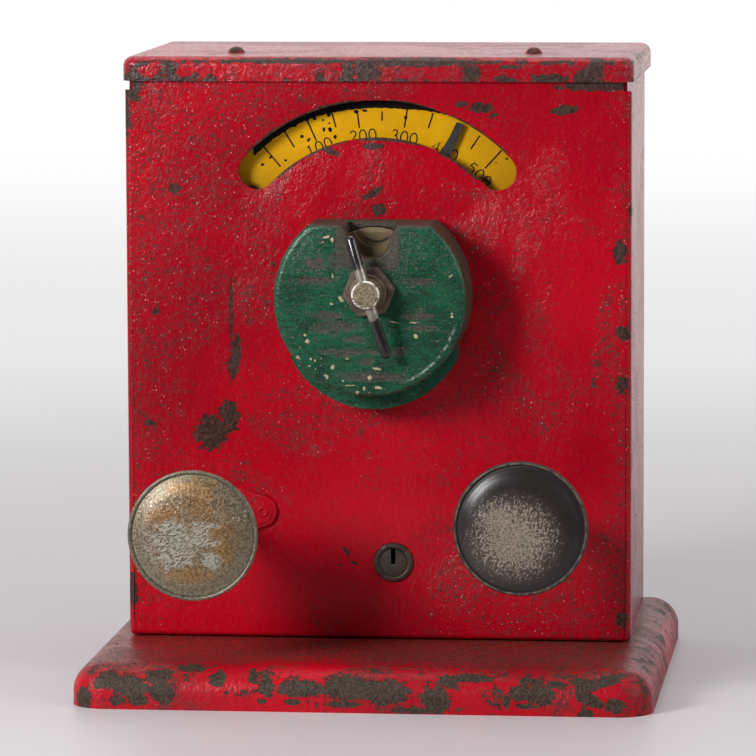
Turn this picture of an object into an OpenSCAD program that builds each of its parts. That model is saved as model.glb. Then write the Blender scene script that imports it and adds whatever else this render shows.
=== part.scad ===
// Coin-operated shock machine: a counter-top novelty with two electrode knobs,
// a coin head with a turning handle, an arc dial and a medical induction coil.
// Origin: centre of the base's footprint, on the counter. +X right, +Y back, +Z up.

/* [Base] */
// Height of the cast base
base_h = 19; // [14:0.5:30]
// How far the base stands out beside the case
base_side = 14.5; // [14:0.5:30]
// How far the base stands out in front of the panel
base_front = 82; // [70:1:120]
// How far the base stands out behind the case
base_rear = 2; // [2:0.5:20]
// Radius of the rounded top edge
base_edge_r = 13; // [6:0.5:13]
// Radius of the front corners, seen from above
base_corner_r = 16; // [14:1:30]
// Wall of the hollow casting
base_wall = 4; // [3:0.5:6]

/* [Case] */
// Width of the case across the front panel
case_w = 229; // [229:1:280]
// Depth of the case, from the front panel to the back wall
case_d = 130; // [130:1:165]
// Height inside the case, from the base to the underside of the lid
case_h = 263; // [263:1:330]
// Thickness of the steel sheet
sheet = 1.5; // [1:0.1:2]
// Width of the turned-in flanges
flange_w = 8; // [6:0.5:10]
// Height of the lid's turned-down lip
lip_h = 11; // [8:0.5:16]
// Radius of the lid's rolled top edge
lid_edge_r = 4.5; // [3:0.5:6]
// Radius of the lid's corners, seen from above
lid_corner_r = 6.5; // [6:0.5:10]
// Distance between the two rivets on the lid
lid_rivet_gap = 136; // [100:1:180]
// Distance of those rivets behind the front panel
lid_rivet_back = 33; // [28:1:50]

/* [Front panel] */
// Depth of the panel's turned-back edges
panel_flange = 9; // [6:0.5:12]
// Height of the notch in each top corner, below the lid's lip
notch_drop = 4; // [2:0.5:8]
// Width of the notch in each top corner
notch_w = 3.6; // [3:0.1:6]

/* [Window and dial] */
// Outer radius of the arc window
window_r = 83; // [78:0.5:90]
// Width of the arc window
window_w = 16.7; // [12:0.1:20]
// Angle from the top to the centre of each round end
window_half = 46.8; // [35:0.1:50]
// How far the dial lies behind the panel
dial_gap = 6; // [5:0.5:9]
// Angle of the pointer at rest, clockwise from the top
pointer_at = 27.4; // [0:0.1:40]
// Width of the pointer's tip
pointer_w = 2.9; // [2:0.1:5]

/* [Coin head] */
// Height of the coin shaft above the base
shaft_up = 162; // [155:1:185]
// Radius of the coin shaft
shaft_r = 6.35; // [5.5:0.05:7]
// Radius of the round head
head_r = 43.2; // [40:0.1:46]
// Distance of the head's centre below the shaft
head_drop = 3.9; // [0:0.1:6]
// Height of the head's flat top above the shaft
head_top = 29.6; // [28.5:0.1:32]
// Thickness of the cast body behind the front disc
head_body_t = 23; // [22:0.5:30]
// Thickness of the front disc
head_front_t = 9.5; // [5:0.5:11]
// Thickness of the lower skirt
skirt_t = 16; // [10:0.5:20]
// Half width of the lower skirt
skirt_half = 37.5; // [30:0.5:40]
// Distance of the skirt's centre below the shaft
skirt_drop = 12.4; // [6:0.1:16]
// Diameter of the coin that the head takes
coin_d = 19.05; // [17:0.05:20]
// Thickness of the coin that the head takes
coin_t = 1.6; // [1:0.1:2.2]
// Radius of the turning coin drum
drum_r = 27; // [26:0.5:28]
// Radius of the handle rod
rod_r = 2.5; // [1.5:0.1:2.6]
// Length of the handle rod, tip to tip
rod_len = 57; // [40:1:70]
// How far the rod's tips bend back
rod_bend = 4.4; // [3:0.1:5]
// How far the rod's middle sits below the shaft's axis, along the rod
rod_slide = 1.7; // [0:0.1:3]
// Angle of the handle at rest, from upright
rod_angle = -17; // [-40:1:40]

/* [Electrode knobs] */
// Left knob: distance left of the middle
left_x = 73.3; // [65:0.1:80]
// Left knob: height above the base
left_up = 58.3; // [50:0.1:70]
// Left knob: radius
left_r = 29; // [25:0.1:32]
// Right knob: distance right of the middle
right_x = 71.3; // [70:0.1:73]
// Right knob: height above the base
right_up = 63.2; // [60:0.1:66]
// Right knob: radius
right_r = 29.7; // [25:0.1:32]
// How far the knobs stand out in front of the panel
knob_out = 81.5; // [70:0.5:81.5]
// Depth of a knob, from its face to its neck
knob_deep = 30; // [24:0.5:40]
// Wall of the spun knob shells
knob_wall = 1.2; // [0.8:0.1:2]
// Radius of the knob stems
stem_r = 5; // [4:0.1:6]
// Distance between the rivets of the ear plate
ear_gap = 41.6; // [36:0.1:50]
// Thickness of the ear plate
ear_t = 2; // [1:0.1:3]

/* [Lock] */
// Distance of the lock right of the middle
lock_x = 6.9; // [-20:0.1:20]
// Height of the lock above the base
lock_up = 35.6; // [30:0.1:45]
// Radius of the lock's barrel
lock_r = 8; // [7:0.1:9]
// Radius of the turning plug
plug_r = 6.3; // [5:0.1:6.5]
// Length of the cam from the lock's axis
cam_len = 30; // [24:1:32]

/* [Clockwork] */
// Module of the clockwork's teeth
train_m = 1.25; // [1.25:0.05:1.3]
// Teeth of the wheel on the coin shaft
drive_n = 48; // [48:1:50]
// Leaves of the second pinion
second_pinion_n = 12; // [12:1:14]
// Teeth of the second wheel
second_n = 40; // [38:1:40]
// Leaves of the fan's pinion
fan_pinion_n = 10; // [10:1:12]
// Radius of the fan's vanes
fan_r = 14; // [10:0.5:15]
// Turns of the mainspring
spring_turns = 4; // [3:1:5]
// Distance from the panel to the back plate
frame_gap = 40.5; // [40:0.5:46]

/* [Regulator and coil] */
// Module of the rack's teeth
rack_m = 1.5; // [1.5:0.05:1.55]
// Teeth of the regulator's pinion
rack_pinion_n = 24; // [24:1:24]
// Throw of the two cranks that the link rod joins
crank_r = 14; // [12.5:0.5:14]
// Half width of the coil's square end plates
coil_half = 16; // [14:0.5:16]
// Length of the coil
coil_len = 68; // [60:1:76]
// Radius of the secondary winding
winding_r = 15; // [12:0.5:15.5]
// Radius of the iron core
core_r = 4.5; // [3:0.1:4.6]

/* [Battery] */
// Radius of the dry cell
cell_r = 31.75; // [28:0.25:32]
// Height of the dry cell without its posts
cell_h = 152; // [120:1:160]

/* [Clearances] */
// Running clearance of a shaft in its bore, on the radius
run = 0.05; // [0.02:0.01:0.1]
// Gap between parts that only lie side by side
gap = 0.5; // [0.3:0.1:0.8]
// Play between meshed teeth
tooth_play = 0.16; // [0.1:0.02:0.3]

/* [Hidden] */
$fn = 64;
base_w = case_w + 2 * base_side;
base_d = base_front + case_d + base_rear;
front_y = base_front - base_d / 2;          // front face of the panel
panel_y = front_y + sheet;                  // back face of the panel
back_y = front_y + case_d;                  // outside of the back wall
lid_z = base_h + case_h;                    // underside of the lid
top_z = lid_z + sheet;
shell_half = case_w / 2 - sheet - gap;      // outside of the side walls
inner_half = shell_half - sheet;
shaft_z = base_h + shaft_up;
left_z = base_h + left_up;
right_z = base_h + right_up;
lock_z = base_h + lock_up;
disc_y = front_y - head_body_t;             // back of the front disc
face_y = disc_y - head_front_t;             // face of the front disc
nut_t = 3;                                  // nuts behind the panel
hub_y = panel_y + nut_t + 0.2;              // front of the pointer's hub
hub_t = 2.8;
ring_t = 1;                                 // ring that keeps the pointer on the neck
neck_end = hub_y + hub_t + 0.1 + ring_t;
link_y = neck_end + 0.3;
link_t = 2;
link_half = 2.2;
pin_r = 2;
pin_end = link_y + link_t + 0.7;
neck_r = shaft_r + 3;
plate_y = panel_y + frame_gap;              // front of the back plate
plate_t = 2;
bridge_y = plate_y - 22;
bridge_t = 2;
arbor_r = 2;
pressure = 25;
addendum = 0.8;
dedendum = 1.05;
window_mid = window_r - window_w / 2;
hair = 0.05;
// Places of the train, given in x and z
drive_at = [0, shaft_z];
second_dir = -130;
second_at = drive_at + polar(train_m * (drive_n + second_pinion_n) / 2, second_dir);
fan_at = second_at + polar(train_m * (second_n + fan_pinion_n) / 2, 180);
right_at = [right_x, right_z];
rack_r = rack_m * rack_pinion_n / 2;
crank_dir = 80;                             // direction of both cranks at rest
coil_x = right_x + rack_r + 3.7;            // axis of the coil and of the rack
coil_y = plate_y + plate_t - coil_half;
coil_z = right_z + 35.8;                    // underside of the coil
coil_top = coil_z + coil_len;
cell_x = -inner_half + 45;
cell_y = back_y - sheet - flange_w - cell_r - gap;
tray_y = front_y + 23;
long_pillars = [[-56, right_z + 14], [-56, shaft_z + 17], [40, shaft_z + 17], [46, right_z - 6]];
bridge_pillars = [second_at + [-29.3, -7], fan_at + [-21.3, -13.6], fan_at + [20.7, -9.6]];
contact_zs = [shaft_z - 53, shaft_z - 39];

// A point at a radius and an angle, clockwise from the top as seen from the front
function polar(r, a) = [r * sin(a), r * cos(a)];
function involute(a) = tan(a) * 180 / PI - a;

module box(a, b) { translate(a) cube(b - a); }
module xcyl(x, y, z, len, r) { translate([x, y, z]) rotate([0, 90, 0]) cylinder(h = len, r = r); }
module ycyl(x, y, z, len, r) { translate([x, y, z]) rotate([-90, 0, 0]) cylinder(h = len, r = r); }
module zcyl(x, y, z, len, r) { translate([x, y, z]) cylinder(h = len, r = r); }
// An outline in x and z, made thick from y towards the back
module yplate(y, len) { translate([0, y + len, 0]) rotate([90, 0, 0]) linear_extrude(len) children(); }
// An outline in y and z, made thick from x towards the right
module xplate(x, len) { translate([x, 0, 0]) rotate([90, 0, 90]) linear_extrude(len) children(); }
// A profile of radius and forward distance, turned about an axis along y
module turned(x, y, z) { translate([x, y, z]) rotate([90, 0, 0]) rotate_extrude() children(); }
module hexagon(across) { circle(d = across / cos(30), $fn = 6); }

// Profile of a slab's edge: corner radius in plan, rounded top edge, height
module edge_profile(r, e, h) {
    intersection() {
        union() {
            square([r - e, h]);
            square([r, h - e]);
            translate([r - e, h - e]) circle(e);
        }
        square([r, h]);
    }
}

// A slab with rounded top edges, standing on z = 0, centred in plan
module soft_slab(w, d, h, r, e, round_back = true) {
    back = round_back ? d / 2 - r : d / 2;
    box([-w / 2 + r, -d / 2 + r, 0], [w / 2 - r, back, h]);
    for (s = [-1, 1]) {
        translate([s * (w / 2 - r), -d / 2 + r, 0]) rotate_extrude() edge_profile(r, e, h);
        translate([s * (w / 2 - r), back, 0]) mirror([s < 0 ? 1 : 0, 0, 0])
            rotate([90, 0, 0]) linear_extrude(back + d / 2 - r) edge_profile(r, e, h);
        if (round_back)
            translate([s * (w / 2 - r), back, 0]) rotate_extrude() edge_profile(r, e, h);
    }
    translate([-w / 2 + r, -d / 2 + r, 0]) rotate([90, 0, 90]) mirror([1, 0, 0])
        linear_extrude(w - 2 * r) edge_profile(r, e, h);
    if (round_back)
        translate([-w / 2 + r, back, 0]) rotate([90, 0, 90])
            linear_extrude(w - 2 * r) edge_profile(r, e, h);
}

// A ring sector between two radii, about the top
module arc_band(r_in, r_out, half) {
    reach = 2 * r_out;
    intersection() {
        difference() {
            circle(r_out);
            circle(r_in);
        }
        polygon([[0, 0], polar(reach, -half), polar(reach, -half / 2), polar(reach, half / 2),
            polar(reach, half)]);
    }
}

// Outline of a gear with involute flanks, one tooth at the given angle
module gear_outline(m, n, phase) {
    pitch_r = m * n / 2;
    foot_r = pitch_r * cos(pressure);
    root_r = pitch_r - dedendum * m;
    tip_r = pitch_r + addendum * m;
    low_r = max(foot_r, root_r);
    half = 90 / n - tooth_play / 2 / pitch_r * 180 / PI + involute(pressure);
    flank = [for (i = [0:3]) low_r + (tip_r - low_r) * i / 3];
    function lean(r) = half - involute(acos(min(1, foot_r / r)));
    polygon([for (k = [0:n - 1]) let (c = phase + 360 * k / n) each concat(
        [polar(root_r, c - lean(low_r))],
        [for (r = flank) polar(r, c - lean(r))],
        [for (i = [3:-1:0]) polar(flank[i], c + lean(flank[i]))],
        [polar(root_r, c + lean(low_r))])]);
}

// Profile of a rivet's or screw's dome head: radius, height
module dome_profile(r, h) {
    ball = (r * r + h * h) / (2 * h);
    intersection() {
        translate([0, h - ball]) circle(ball);
        square([r, h]);
    }
}

// A wire: a tube of eight sides swept along a list of points
function unit(v) = v / norm(v);
module wire(path, r) {
    sides = 8;
    n = len(path);
    dirs = [for (i = [0:n - 1]) unit(path[min(i + 1, n - 1)] - path[max(i - 1, 0)])];
    side = [for (d = dirs) unit(abs(d[2]) < 0.9 ? cross(d, [0, 0, 1]) : cross(d, [1, 0, 0]))];
    ring = [for (i = [0:n - 1]) let (u = side[i], v = cross(dirs[i], u))
        for (k = [0:sides - 1]) path[i] + r * (cos(45 * k) * u + sin(45 * k) * v)];
    polyhedron(ring, concat(
        [[for (k = [0:sides - 1]) k]],
        [for (i = [0:n - 2], k = [0:sides - 1]) let (a = i * sides, j = (k + 1) % sides)
            [a + k, a + sides + k, a + sides + j, a + j]],
        [[for (k = [sides - 1:-1:0]) (n - 1) * sides + k]]));
}

// Points of a smooth curve through the given points
function curve(p, steps = 3) = [for (i = [0:len(p) - 2], s = [0:steps - 1])
    let (a = p[max(i - 1, 0)], b = p[i], c = p[i + 1], d = p[min(i + 2, len(p) - 1)], t = s / steps)
    0.5 * (2 * b + (c - a) * t + (2 * a - 5 * b + 4 * c - d) * t * t
        + (3 * b - a - 3 * c + d) * t * t * t), p[len(p) - 1]];

// Places shared by the base and what is screwed to it
screw_x = inner_half - 15;
screw_ys = [front_y + 17, back_y - 15];
case_screw_at = [for (s = [-1, 1]) each [[s * (inner_half - flange_w / 2), front_y + 30],
    [s * (inner_half - flange_w / 2), front_y + 90], [s * 50, back_y - sheet - flange_w / 2]]];
case_screw_r = 1.9;
catch_screw_at = [lock_x, front_y + 19];

module base() {
    inset = 2 * base_wall;
    rib = base_wall;
    cell_w = (base_w - 2 * inset - 2 * rib) / 3;
    cell_d = (base_d - 2 * inset - rib) / 2;
    color("firebrick") difference() {
        soft_slab(base_w, base_d, base_h, base_corner_r, base_edge_r, false);
        difference() {
            for (i = [0:2], j = [0:1])
                translate([-base_w / 2 + inset + i * (cell_w + rib), -base_d / 2 + inset
                    + j * (cell_d + rib), -1]) cube([cell_w, cell_d, base_h - base_wall + 1]);
            for (x = [-screw_x, screw_x], y = screw_ys) zcyl(x, y, -2, base_h + 2, 9.5);
            for (p = case_screw_at) zcyl(p[0], p[1], base_h - 14, 14, 5);
            zcyl(catch_screw_at[0], catch_screw_at[1], base_h - 14, 14, 5);
        }
        for (x = [-screw_x, screw_x], y = screw_ys) {
            zcyl(x, y, -1, base_h + 2, 2.6);
            translate([x, y, base_h - 2.6]) cylinder(h = 2.61, r1 = 2.6, r2 = 5.2);
        }
        for (p = case_screw_at) zcyl(p[0], p[1], base_h - 10, 11, case_screw_r + run);
        zcyl(catch_screw_at[0], catch_screw_at[1], base_h - 10, 11, case_screw_r + run);
    }
}

// Cut that breaks a corner at (a, b), with a's outer side given by the sign of a
module corner_cut(a, b, leg) {
    s = sign(a);
    polygon([[a - s * leg, b], [a, b - leg], [a + s, b - leg], [a + s, b + 1], [a - s * leg, b + 1]]);
}

module case_shell() {
    shell_front = panel_y + gap;
    bevel = 2;
    color("crimson") difference() {
        union() {
            for (s = [-1, 1]) {
                x0 = s > 0 ? inner_half : -shell_half;
                box([x0, shell_front, base_h], [x0 + sheet, back_y, lid_z]);
                f0 = s > 0 ? inner_half - flange_w : -inner_half;
                for (z = [base_h, lid_z - sheet])
                    box([f0, shell_front + 12, z], [f0 + flange_w, back_y - sheet, z + sheet]);
            }
            box([-shell_half, back_y - sheet, base_h], [shell_half, back_y, lid_z]);
            for (z = [base_h, lid_z - sheet])
                box([-inner_half, back_y - sheet - flange_w, z], [inner_half, back_y - sheet, z + sheet]);
        }
        for (p = case_screw_at) zcyl(p[0], p[1], base_h - 1, sheet + 2, case_screw_r + run);
        for (s = [-1, 1]) {
            yplate(shell_front - 1, case_d) corner_cut(s * shell_half, lid_z, bevel);
            translate([0, 0, base_h - 1]) linear_extrude(case_h + 2)
                corner_cut(s * shell_half, back_y, bevel);
        }
        xplate(-shell_half - 1, 2 * shell_half + 2) corner_cut(back_y, lid_z, bevel);
    }
}

module lid() {
    over = gap + sheet;
    w = case_w + 2 * (gap + 0.5);
    d = case_d + 2 * over;
    color("crimson") translate([0, front_y + case_d / 2, top_z - lip_h]) difference() {
        soft_slab(w, d, lip_h, lid_corner_r, lid_edge_r);
        translate([0, 0, -1]) soft_slab(w - 2 * sheet, d - 2 * sheet, lip_h - sheet + 1,
            lid_corner_r - sheet, lid_edge_r - sheet - 1);
        for (s = [-1, 1])
            zcyl(s * lid_rivet_gap / 2, lid_rivet_back - case_d / 2, 0, lip_h + 1, 2.5 + run);
    }
}

module lid_rivets() {
    color("darkred") for (s = [-1, 1])
        translate([s * lid_rivet_gap / 2, front_y + lid_rivet_back, 0]) {
            zcyl(0, 0, lid_z - 2.5, 2.5 + sheet, 2.5);
            translate([0, 0, top_z]) rotate_extrude() dome_profile(4, 2.8);
            translate([0, 0, lid_z - 3.4]) cylinder(h = 1.4, r = 3.6);
        }
}

// Clips riveted under the lid: the panel's top stands between them and the lid's lip
module lid_clips() {
    leg_y = panel_y + 4 * gap;
    color("darkred") for (s = [-1, 1]) difference() {
        union() {
            box([s * lid_rivet_gap / 2 - 8, leg_y, lid_z - 2], [s * lid_rivet_gap / 2 + 8,
                front_y + lid_rivet_back + 8, lid_z]);
            box([s * lid_rivet_gap / 2 - 8, leg_y, lid_z - 12], [s * lid_rivet_gap / 2 + 8,
                leg_y + 2, lid_z]);
        }
        zcyl(s * lid_rivet_gap / 2, front_y + lid_rivet_back, lid_z - 3, 4, 2.5 + run);
    }
}

module case_screws() {
    color("dimgray") {
        for (p = case_screw_at) translate([p[0], p[1], base_h + sheet]) {
            zcyl(0, 0, -sheet - 9, sheet + 9, case_screw_r);
            rotate_extrude() dome_profile(3.4, 1.8);
        }
        translate([catch_screw_at[0], catch_screw_at[1], base_h + 2]) {
            zcyl(0, 0, -11, 11, case_screw_r);
            rotate_extrude() dome_profile(3.4, 1.8);
        }
    }
}

// Upright catch on the base: the lock's cam turns down behind it
module lock_catch() {
    catch_y = panel_y + 12;
    color("dimgray") difference() {
        union() {
            box([lock_x - 12, catch_y, base_h], [lock_x + 12, catch_y + 2, lock_z - 22]);
            box([lock_x - 12, catch_y, base_h], [lock_x + 12, catch_y + 9, base_h + 2]);
        }
        zcyl(catch_screw_at[0], catch_screw_at[1], base_h - 1, 4, case_screw_r + run);
    }
}

module dry_cell() {
    color("goldenrod") translate([cell_x, cell_y, base_h]) rotate_extrude() polygon([[0, 0],
        [cell_r, 0], [cell_r, cell_h], [cell_r - 2, cell_h], [cell_r - 2, cell_h - 3],
        [0, cell_h - 3]]);
}

post_at = [[cell_x, cell_y], [cell_x + 24, cell_y]];
post_z = base_h + cell_h + 6.5;             // middle of the posts' nuts

module cell_posts() {
    color("peru") for (p = post_at) translate([p[0], p[1], base_h + cell_h - 3]) {
        cylinder(h = 14, r = 2.2);
        cylinder(h = 4, r = p[0] == cell_x ? 9 : 4);
        translate([0, 0, 7]) cylinder(h = 5, r = 4.6);
    }
}

module battery_strap() {
    band_z = base_h + cell_h * 0.6;
    r_in = cell_r + 0.3;
    r_out = r_in + sheet;
    color("gray") difference() {
        union() {
            zcyl(cell_x, cell_y, band_z, 16, r_out);
            box([cell_x - r_out - 9, back_y - 2 * sheet, band_z], [cell_x + r_out + 9,
                back_y - sheet, band_z + 16]);
            for (s = [-1, 1]) box([cell_x + s * (r_in + sheet / 2) - sheet / 2, cell_y, band_z],
                [cell_x + s * (r_in + sheet / 2) + sheet / 2, back_y - sheet, band_z + 16]);
        }
        zcyl(cell_x, cell_y, band_z - 1, 18, r_in);
        box([cell_x - r_in, cell_y, band_z - 1], [cell_x + r_in, back_y - 2 * sheet, band_z + 17]);
    }
}

tray_w = 88;
tray_d = 60;
tray_h = 32;

module coin_tray() {
    x0 = -26;
    color("silver") difference() {
        box([x0, tray_y, base_h], [x0 + tray_w, tray_y + tray_d, base_h + tray_h]);
        box([x0 + sheet, tray_y + sheet, base_h + sheet], [x0 + tray_w - sheet,
            tray_y + tray_d - sheet, base_h + tray_h + 1]);
    }
}

// Fibre block on the left wall, with two springs that touch the panel's studs
block_x = -inner_half;
block_y = front_y + 25;
stud_x = block_x + 19;
stud_end = panel_y + 4.4;

module contact_block() {
    color("saddlebrown") box([block_x, block_y, contact_zs[0] - 10], [block_x + 8, block_y + 14,
        contact_zs[1] + 10]);
}

module contact_springs() {
    blade = 0.6;
    bend_y = stud_end + 0.3;
    color("goldenrod") for (z = contact_zs) {
        box([block_x + 8, bend_y, z - 4], [block_x + 8 + blade, block_y + 14, z + 4]);
        box([block_x + 8, bend_y, z - 4], [stud_x + 4, bend_y + blade, z + 4]);
    }
}

lead_r = 1.2;
block_out = [block_x + 4, block_y + 14];

module battery_leads() {
    color("darkgreen") {
        wire(curve([[block_out[0], block_out[1] + 0.3, contact_zs[0]],
            [block_out[0], block_out[1] + 7, contact_zs[0]],
            [block_out[0] + 1, block_out[1] + 16, contact_zs[0] + 10],
            [block_out[0] + 8, cell_y - 28, post_z - 6], [cell_x - 18, cell_y - 12, post_z + 6],
            [cell_x - 10, cell_y - 3, post_z], [cell_x - 5, cell_y - 1.5, post_z]]), lead_r);
        wire(curve([[block_out[0], block_out[1] + 0.3, contact_zs[1]],
            [block_out[0], block_out[1] + 9, contact_zs[1] + 1],
            [block_out[0] + 12, cell_y - 30, post_z], [cell_x + 4, cell_y - 26, post_z + 12],
            [cell_x + 21, cell_y - 17, post_z + 8], [cell_x + 24, cell_y - 9, post_z],
            [cell_x + 24, cell_y - 5, post_z]]), lead_r);
    }
}

module window_outline() {
    arc_band(window_r - window_w, window_r, window_half);
    // A hair smaller than the band is wide, so the end never meets its arcs along a tangent
    for (s = [-1, 1]) translate(polar(window_mid, s * window_half)) circle(window_w / 2 - hair);
}

module front_panel() {
    low_z = base_h + gap;
    wide_z = top_z - lip_h - notch_drop;
    tongue_z = lid_z - 3;
    color("crimson") difference() {
        union() {
            box([-case_w / 2, front_y, low_z], [case_w / 2, panel_y, wide_z]);
            box([-case_w / 2 + notch_w, front_y, wide_z - 1], [case_w / 2 - notch_w, panel_y,
                tongue_z]);
            for (s = [-1, 1]) {
                x0 = s > 0 ? case_w / 2 - sheet : -case_w / 2;
                box([x0, front_y, low_z], [x0 + sheet, front_y + panel_flange, wide_z]);
            }
            box([-inner_half + gap, front_y, low_z], [inner_half - gap, front_y + panel_flange,
                low_z + sheet]);
        }
        yplate(front_y - 1, sheet + 2) translate([0, shaft_z]) window_outline();
        ycyl(0, front_y - 1, shaft_z, sheet + 2, neck_r + run);
        yplate(front_y - 1, sheet + 2) translate([-12, shaft_z - 48]) square([24, 14]);
        for (p = [[-left_x, left_z], right_at])
            ycyl(p[0], front_y - 1, p[1], sheet + 2, stem_r + 3 + run);
        for (s = [-1, 1])
            ycyl(-left_x + s * ear_gap / 2, front_y - 1, left_z, sheet + 2, 2 + run);
        ycyl(lock_x, front_y - 1, lock_z, sheet + 2, lock_r + run);
    }
}

module dial_plate() {
    dial_y = panel_y + dial_gap;
    color("gold") {
        yplate(dial_y, 1) translate([0, shaft_z]) arc_band(58, window_r + 3.5, 57);
        for (a = [-54, 54], r = [62, window_r]) translate([0, 0, shaft_z])
            ycyl(polar(r, a)[0], panel_y, polar(r, a)[1], dial_gap, 2);
    }
}

module head_outline() {
    intersection() {
        translate([0, -head_drop]) circle(head_r);
        translate([-head_r, -2 * head_r]) square([2 * head_r, 2 * head_r + head_top]);
    }
}

module skirt_outline() {
    intersection() {
        translate([0, -skirt_drop]) circle(head_r - 1);
        translate([-skirt_half, -2 * head_r]) square([2 * skirt_half, 2 * head_r - skirt_drop]);
    }
}

coin_y = disc_y + 3;                        // front of the coin's pocket

module head_body() {
    chute_w = coin_d + 3.4;
    color("darkgreen") {
        difference() {
            union() {
                yplate(disc_y, head_body_t) translate([0, shaft_z]) head_outline();
                yplate(front_y - skirt_t, skirt_t) translate([0, shaft_z]) skirt_outline();
            }
            ycyl(0, disc_y - 1, shaft_z, head_body_t - 4, drum_r + gap);
            ycyl(0, disc_y, shaft_z, head_body_t + 1, shaft_r + run);
            box([-chute_w / 2, disc_y - 1, shaft_z + 15], [chute_w / 2, coin_y + 9, shaft_z + 40]);
            box([-chute_w / 2, front_y - 14, shaft_z - 46], [chute_w / 2, front_y - 5, shaft_z - 15]);
            box([-chute_w / 2, front_y - 14, shaft_z - 46], [chute_w / 2, front_y + 1, shaft_z - 36]);
        }
        // Neck through the panel, which also carries the pointer
        difference() {
            ycyl(0, front_y - 1, shaft_z, neck_end - front_y + 1, neck_r);
            ycyl(0, front_y - 2, shaft_z, 30, shaft_r + run);
        }
    }
}

// Round-bottomed notch that shows the coin, flared at the top
module coin_notch(r) {
    mid = head_top - 5.8;
    translate([0, mid]) circle(r);
    polygon([[-r, mid], [-r - 3.3, head_top + 1], [r + 3.3, head_top + 1], [r, mid]]);
}

module head_front() {
    soft = 2.5;
    color("darkgreen") difference() {
        intersection() {
            turned(0, disc_y, shaft_z - head_drop) {
                square([head_r - soft, head_front_t]);
                square([head_r, head_front_t - soft]);
                translate([head_r - soft, head_front_t - soft]) circle(soft);
            }
            yplate(face_y - 1, head_front_t + 2) translate([0, shaft_z]) head_outline();
        }
        yplate(face_y - 1, head_front_t + 2) translate([0, shaft_z]) coin_notch(9.2);
        ycyl(0, face_y - 1, shaft_z, head_front_t + 2, shaft_r + run);
    }
}

gland_t = 3.6;
rod_y = face_y - 11.5;

module gland_nut() {
    color("rosybrown") difference() {
        yplate(face_y - gland_t, gland_t) translate([0, shaft_z]) rotate(8) hexagon(21);
        ycyl(0, face_y - gland_t - 1, shaft_z, gland_t + 2, shaft_r + run);
    }
}

module panel_nuts() {
    color("gray") {
        difference() {
            yplate(panel_y, nut_t) translate([0, shaft_z]) hexagon(26);
            ycyl(0, panel_y - 1, shaft_z, nut_t + 2, neck_r + run);
        }
        difference() {
            ycyl(0, neck_end - ring_t, shaft_z, ring_t, neck_r + 1.5);
            ycyl(0, neck_end - 2, shaft_z, 4, neck_r + run);
        }
        for (p = [[-left_x, left_z], right_at]) difference() {
            yplate(panel_y, nut_t) translate(p) hexagon(22);
            ycyl(p[0], panel_y - 1, p[1], nut_t + 2, stem_r + 3 + run);
        }
        difference() {
            yplate(panel_y, nut_t) translate([lock_x, lock_z]) hexagon(22);
            ycyl(lock_x, panel_y - 1, lock_z, nut_t + 2, lock_r + run);
        }
    }
}

module coin_chute() {
    half = coin_d / 2 + 2.7;
    mouth_z = shaft_z - 31;
    low = right_z - 4;
    side = [[panel_y, mouth_z], [panel_y + 9, mouth_z], [panel_y + 9, shaft_z - 54],
        [tray_y + 15, low], [tray_y + 6, low], [panel_y, shaft_z - 60]];
    duct = [[panel_y - 1, mouth_z - 1], [panel_y + 8, mouth_z - 1], [panel_y + 8, shaft_z - 54.3],
        [tray_y + 14, low - 1], [tray_y + 7, low - 1], [panel_y + 1, shaft_z - 59.5],
        [panel_y - 1, shaft_z - 59.5]];
    color("silver") difference() {
        xplate(-half, 2 * half) polygon(side);
        xplate(-half + 1, 2 * half - 2) polygon(duct);
    }
}

module mech_plate() {
    color("goldenrod") difference() {
        yplate(plate_y, plate_t) polygon([[-64, shaft_z + 25], [46, shaft_z + 25],
            [coil_x - 19, shaft_z - 5], [coil_x - 19, right_z + 22], [right_x + 15, right_z + 10],
            [right_x + 15, right_z - 16], [38, right_z - 16], [24, right_z + 6],
            [-64, right_z + 6]]);
        ycyl(0, plate_y - 1, shaft_z, plate_t + 2, shaft_r - 2 + run);
        for (p = [second_at, fan_at]) ycyl(p[0], plate_y - 1, p[1], plate_t + 2, arbor_r + run);
        ycyl(right_x, plate_y - 1, right_z, plate_t + 2, stem_r - 1.5 + run);
    }
}

module mech_pillars() {
    color("tan") {
        for (p = long_pillars) ycyl(p[0], panel_y, p[1], frame_gap, 4);
        for (p = bridge_pillars) ycyl(p[0], bridge_y + bridge_t, p[1],
            plate_y - bridge_y - bridge_t, 3);
    }
}

module train_bridge() {
    a = bridge_pillars[0];
    b = bridge_pillars[1];
    c = bridge_pillars[2];
    color("goldenrod") difference() {
        yplate(bridge_y, bridge_t) polygon([a + [-5, -5], a + [-5, 5], second_at + [-5, 7],
            second_at + [6, 7], second_at + [9, 0], c + [5, 5], c + [5, -5], b + [-5, -5]]);
        for (p = [second_at, fan_at]) ycyl(p[0], bridge_y - 1, p[1], bridge_t + 2, arbor_r + run);
    }
}

// Flat spiral spring, from the shaft to a pillar
module mainspring() {
    strip = 0.7;
    r0 = shaft_r + 0.5;
    r1 = 22;
    hook = long_pillars[2] - drive_at;
    hook_a = atan2(hook[0], hook[1]);
    n = spring_turns * 20;
    function spiral(i) = r0 + (r1 - r0) * i / n;
    function turn(i) = hook_a - 360 * spring_turns * (1 - i / n);
    color("slategray") yplate(pin_end + 0.6, 6) translate(drive_at) {
        polygon(concat([for (i = [0:n]) polar(spiral(i), turn(i))],
            [for (i = [n:-1:0]) polar(spiral(i) + strip, turn(i))]));
        rotate(-hook_a) translate([-1.3 * strip, r1 + strip / 3])
            square([strip, norm(hook) - 4.05 - r1 - strip / 3]);
    }
}

// Knob of two spun shells on a stem: face, rim with a rolled bead, and a curved back
bead_r = 1.3;

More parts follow.
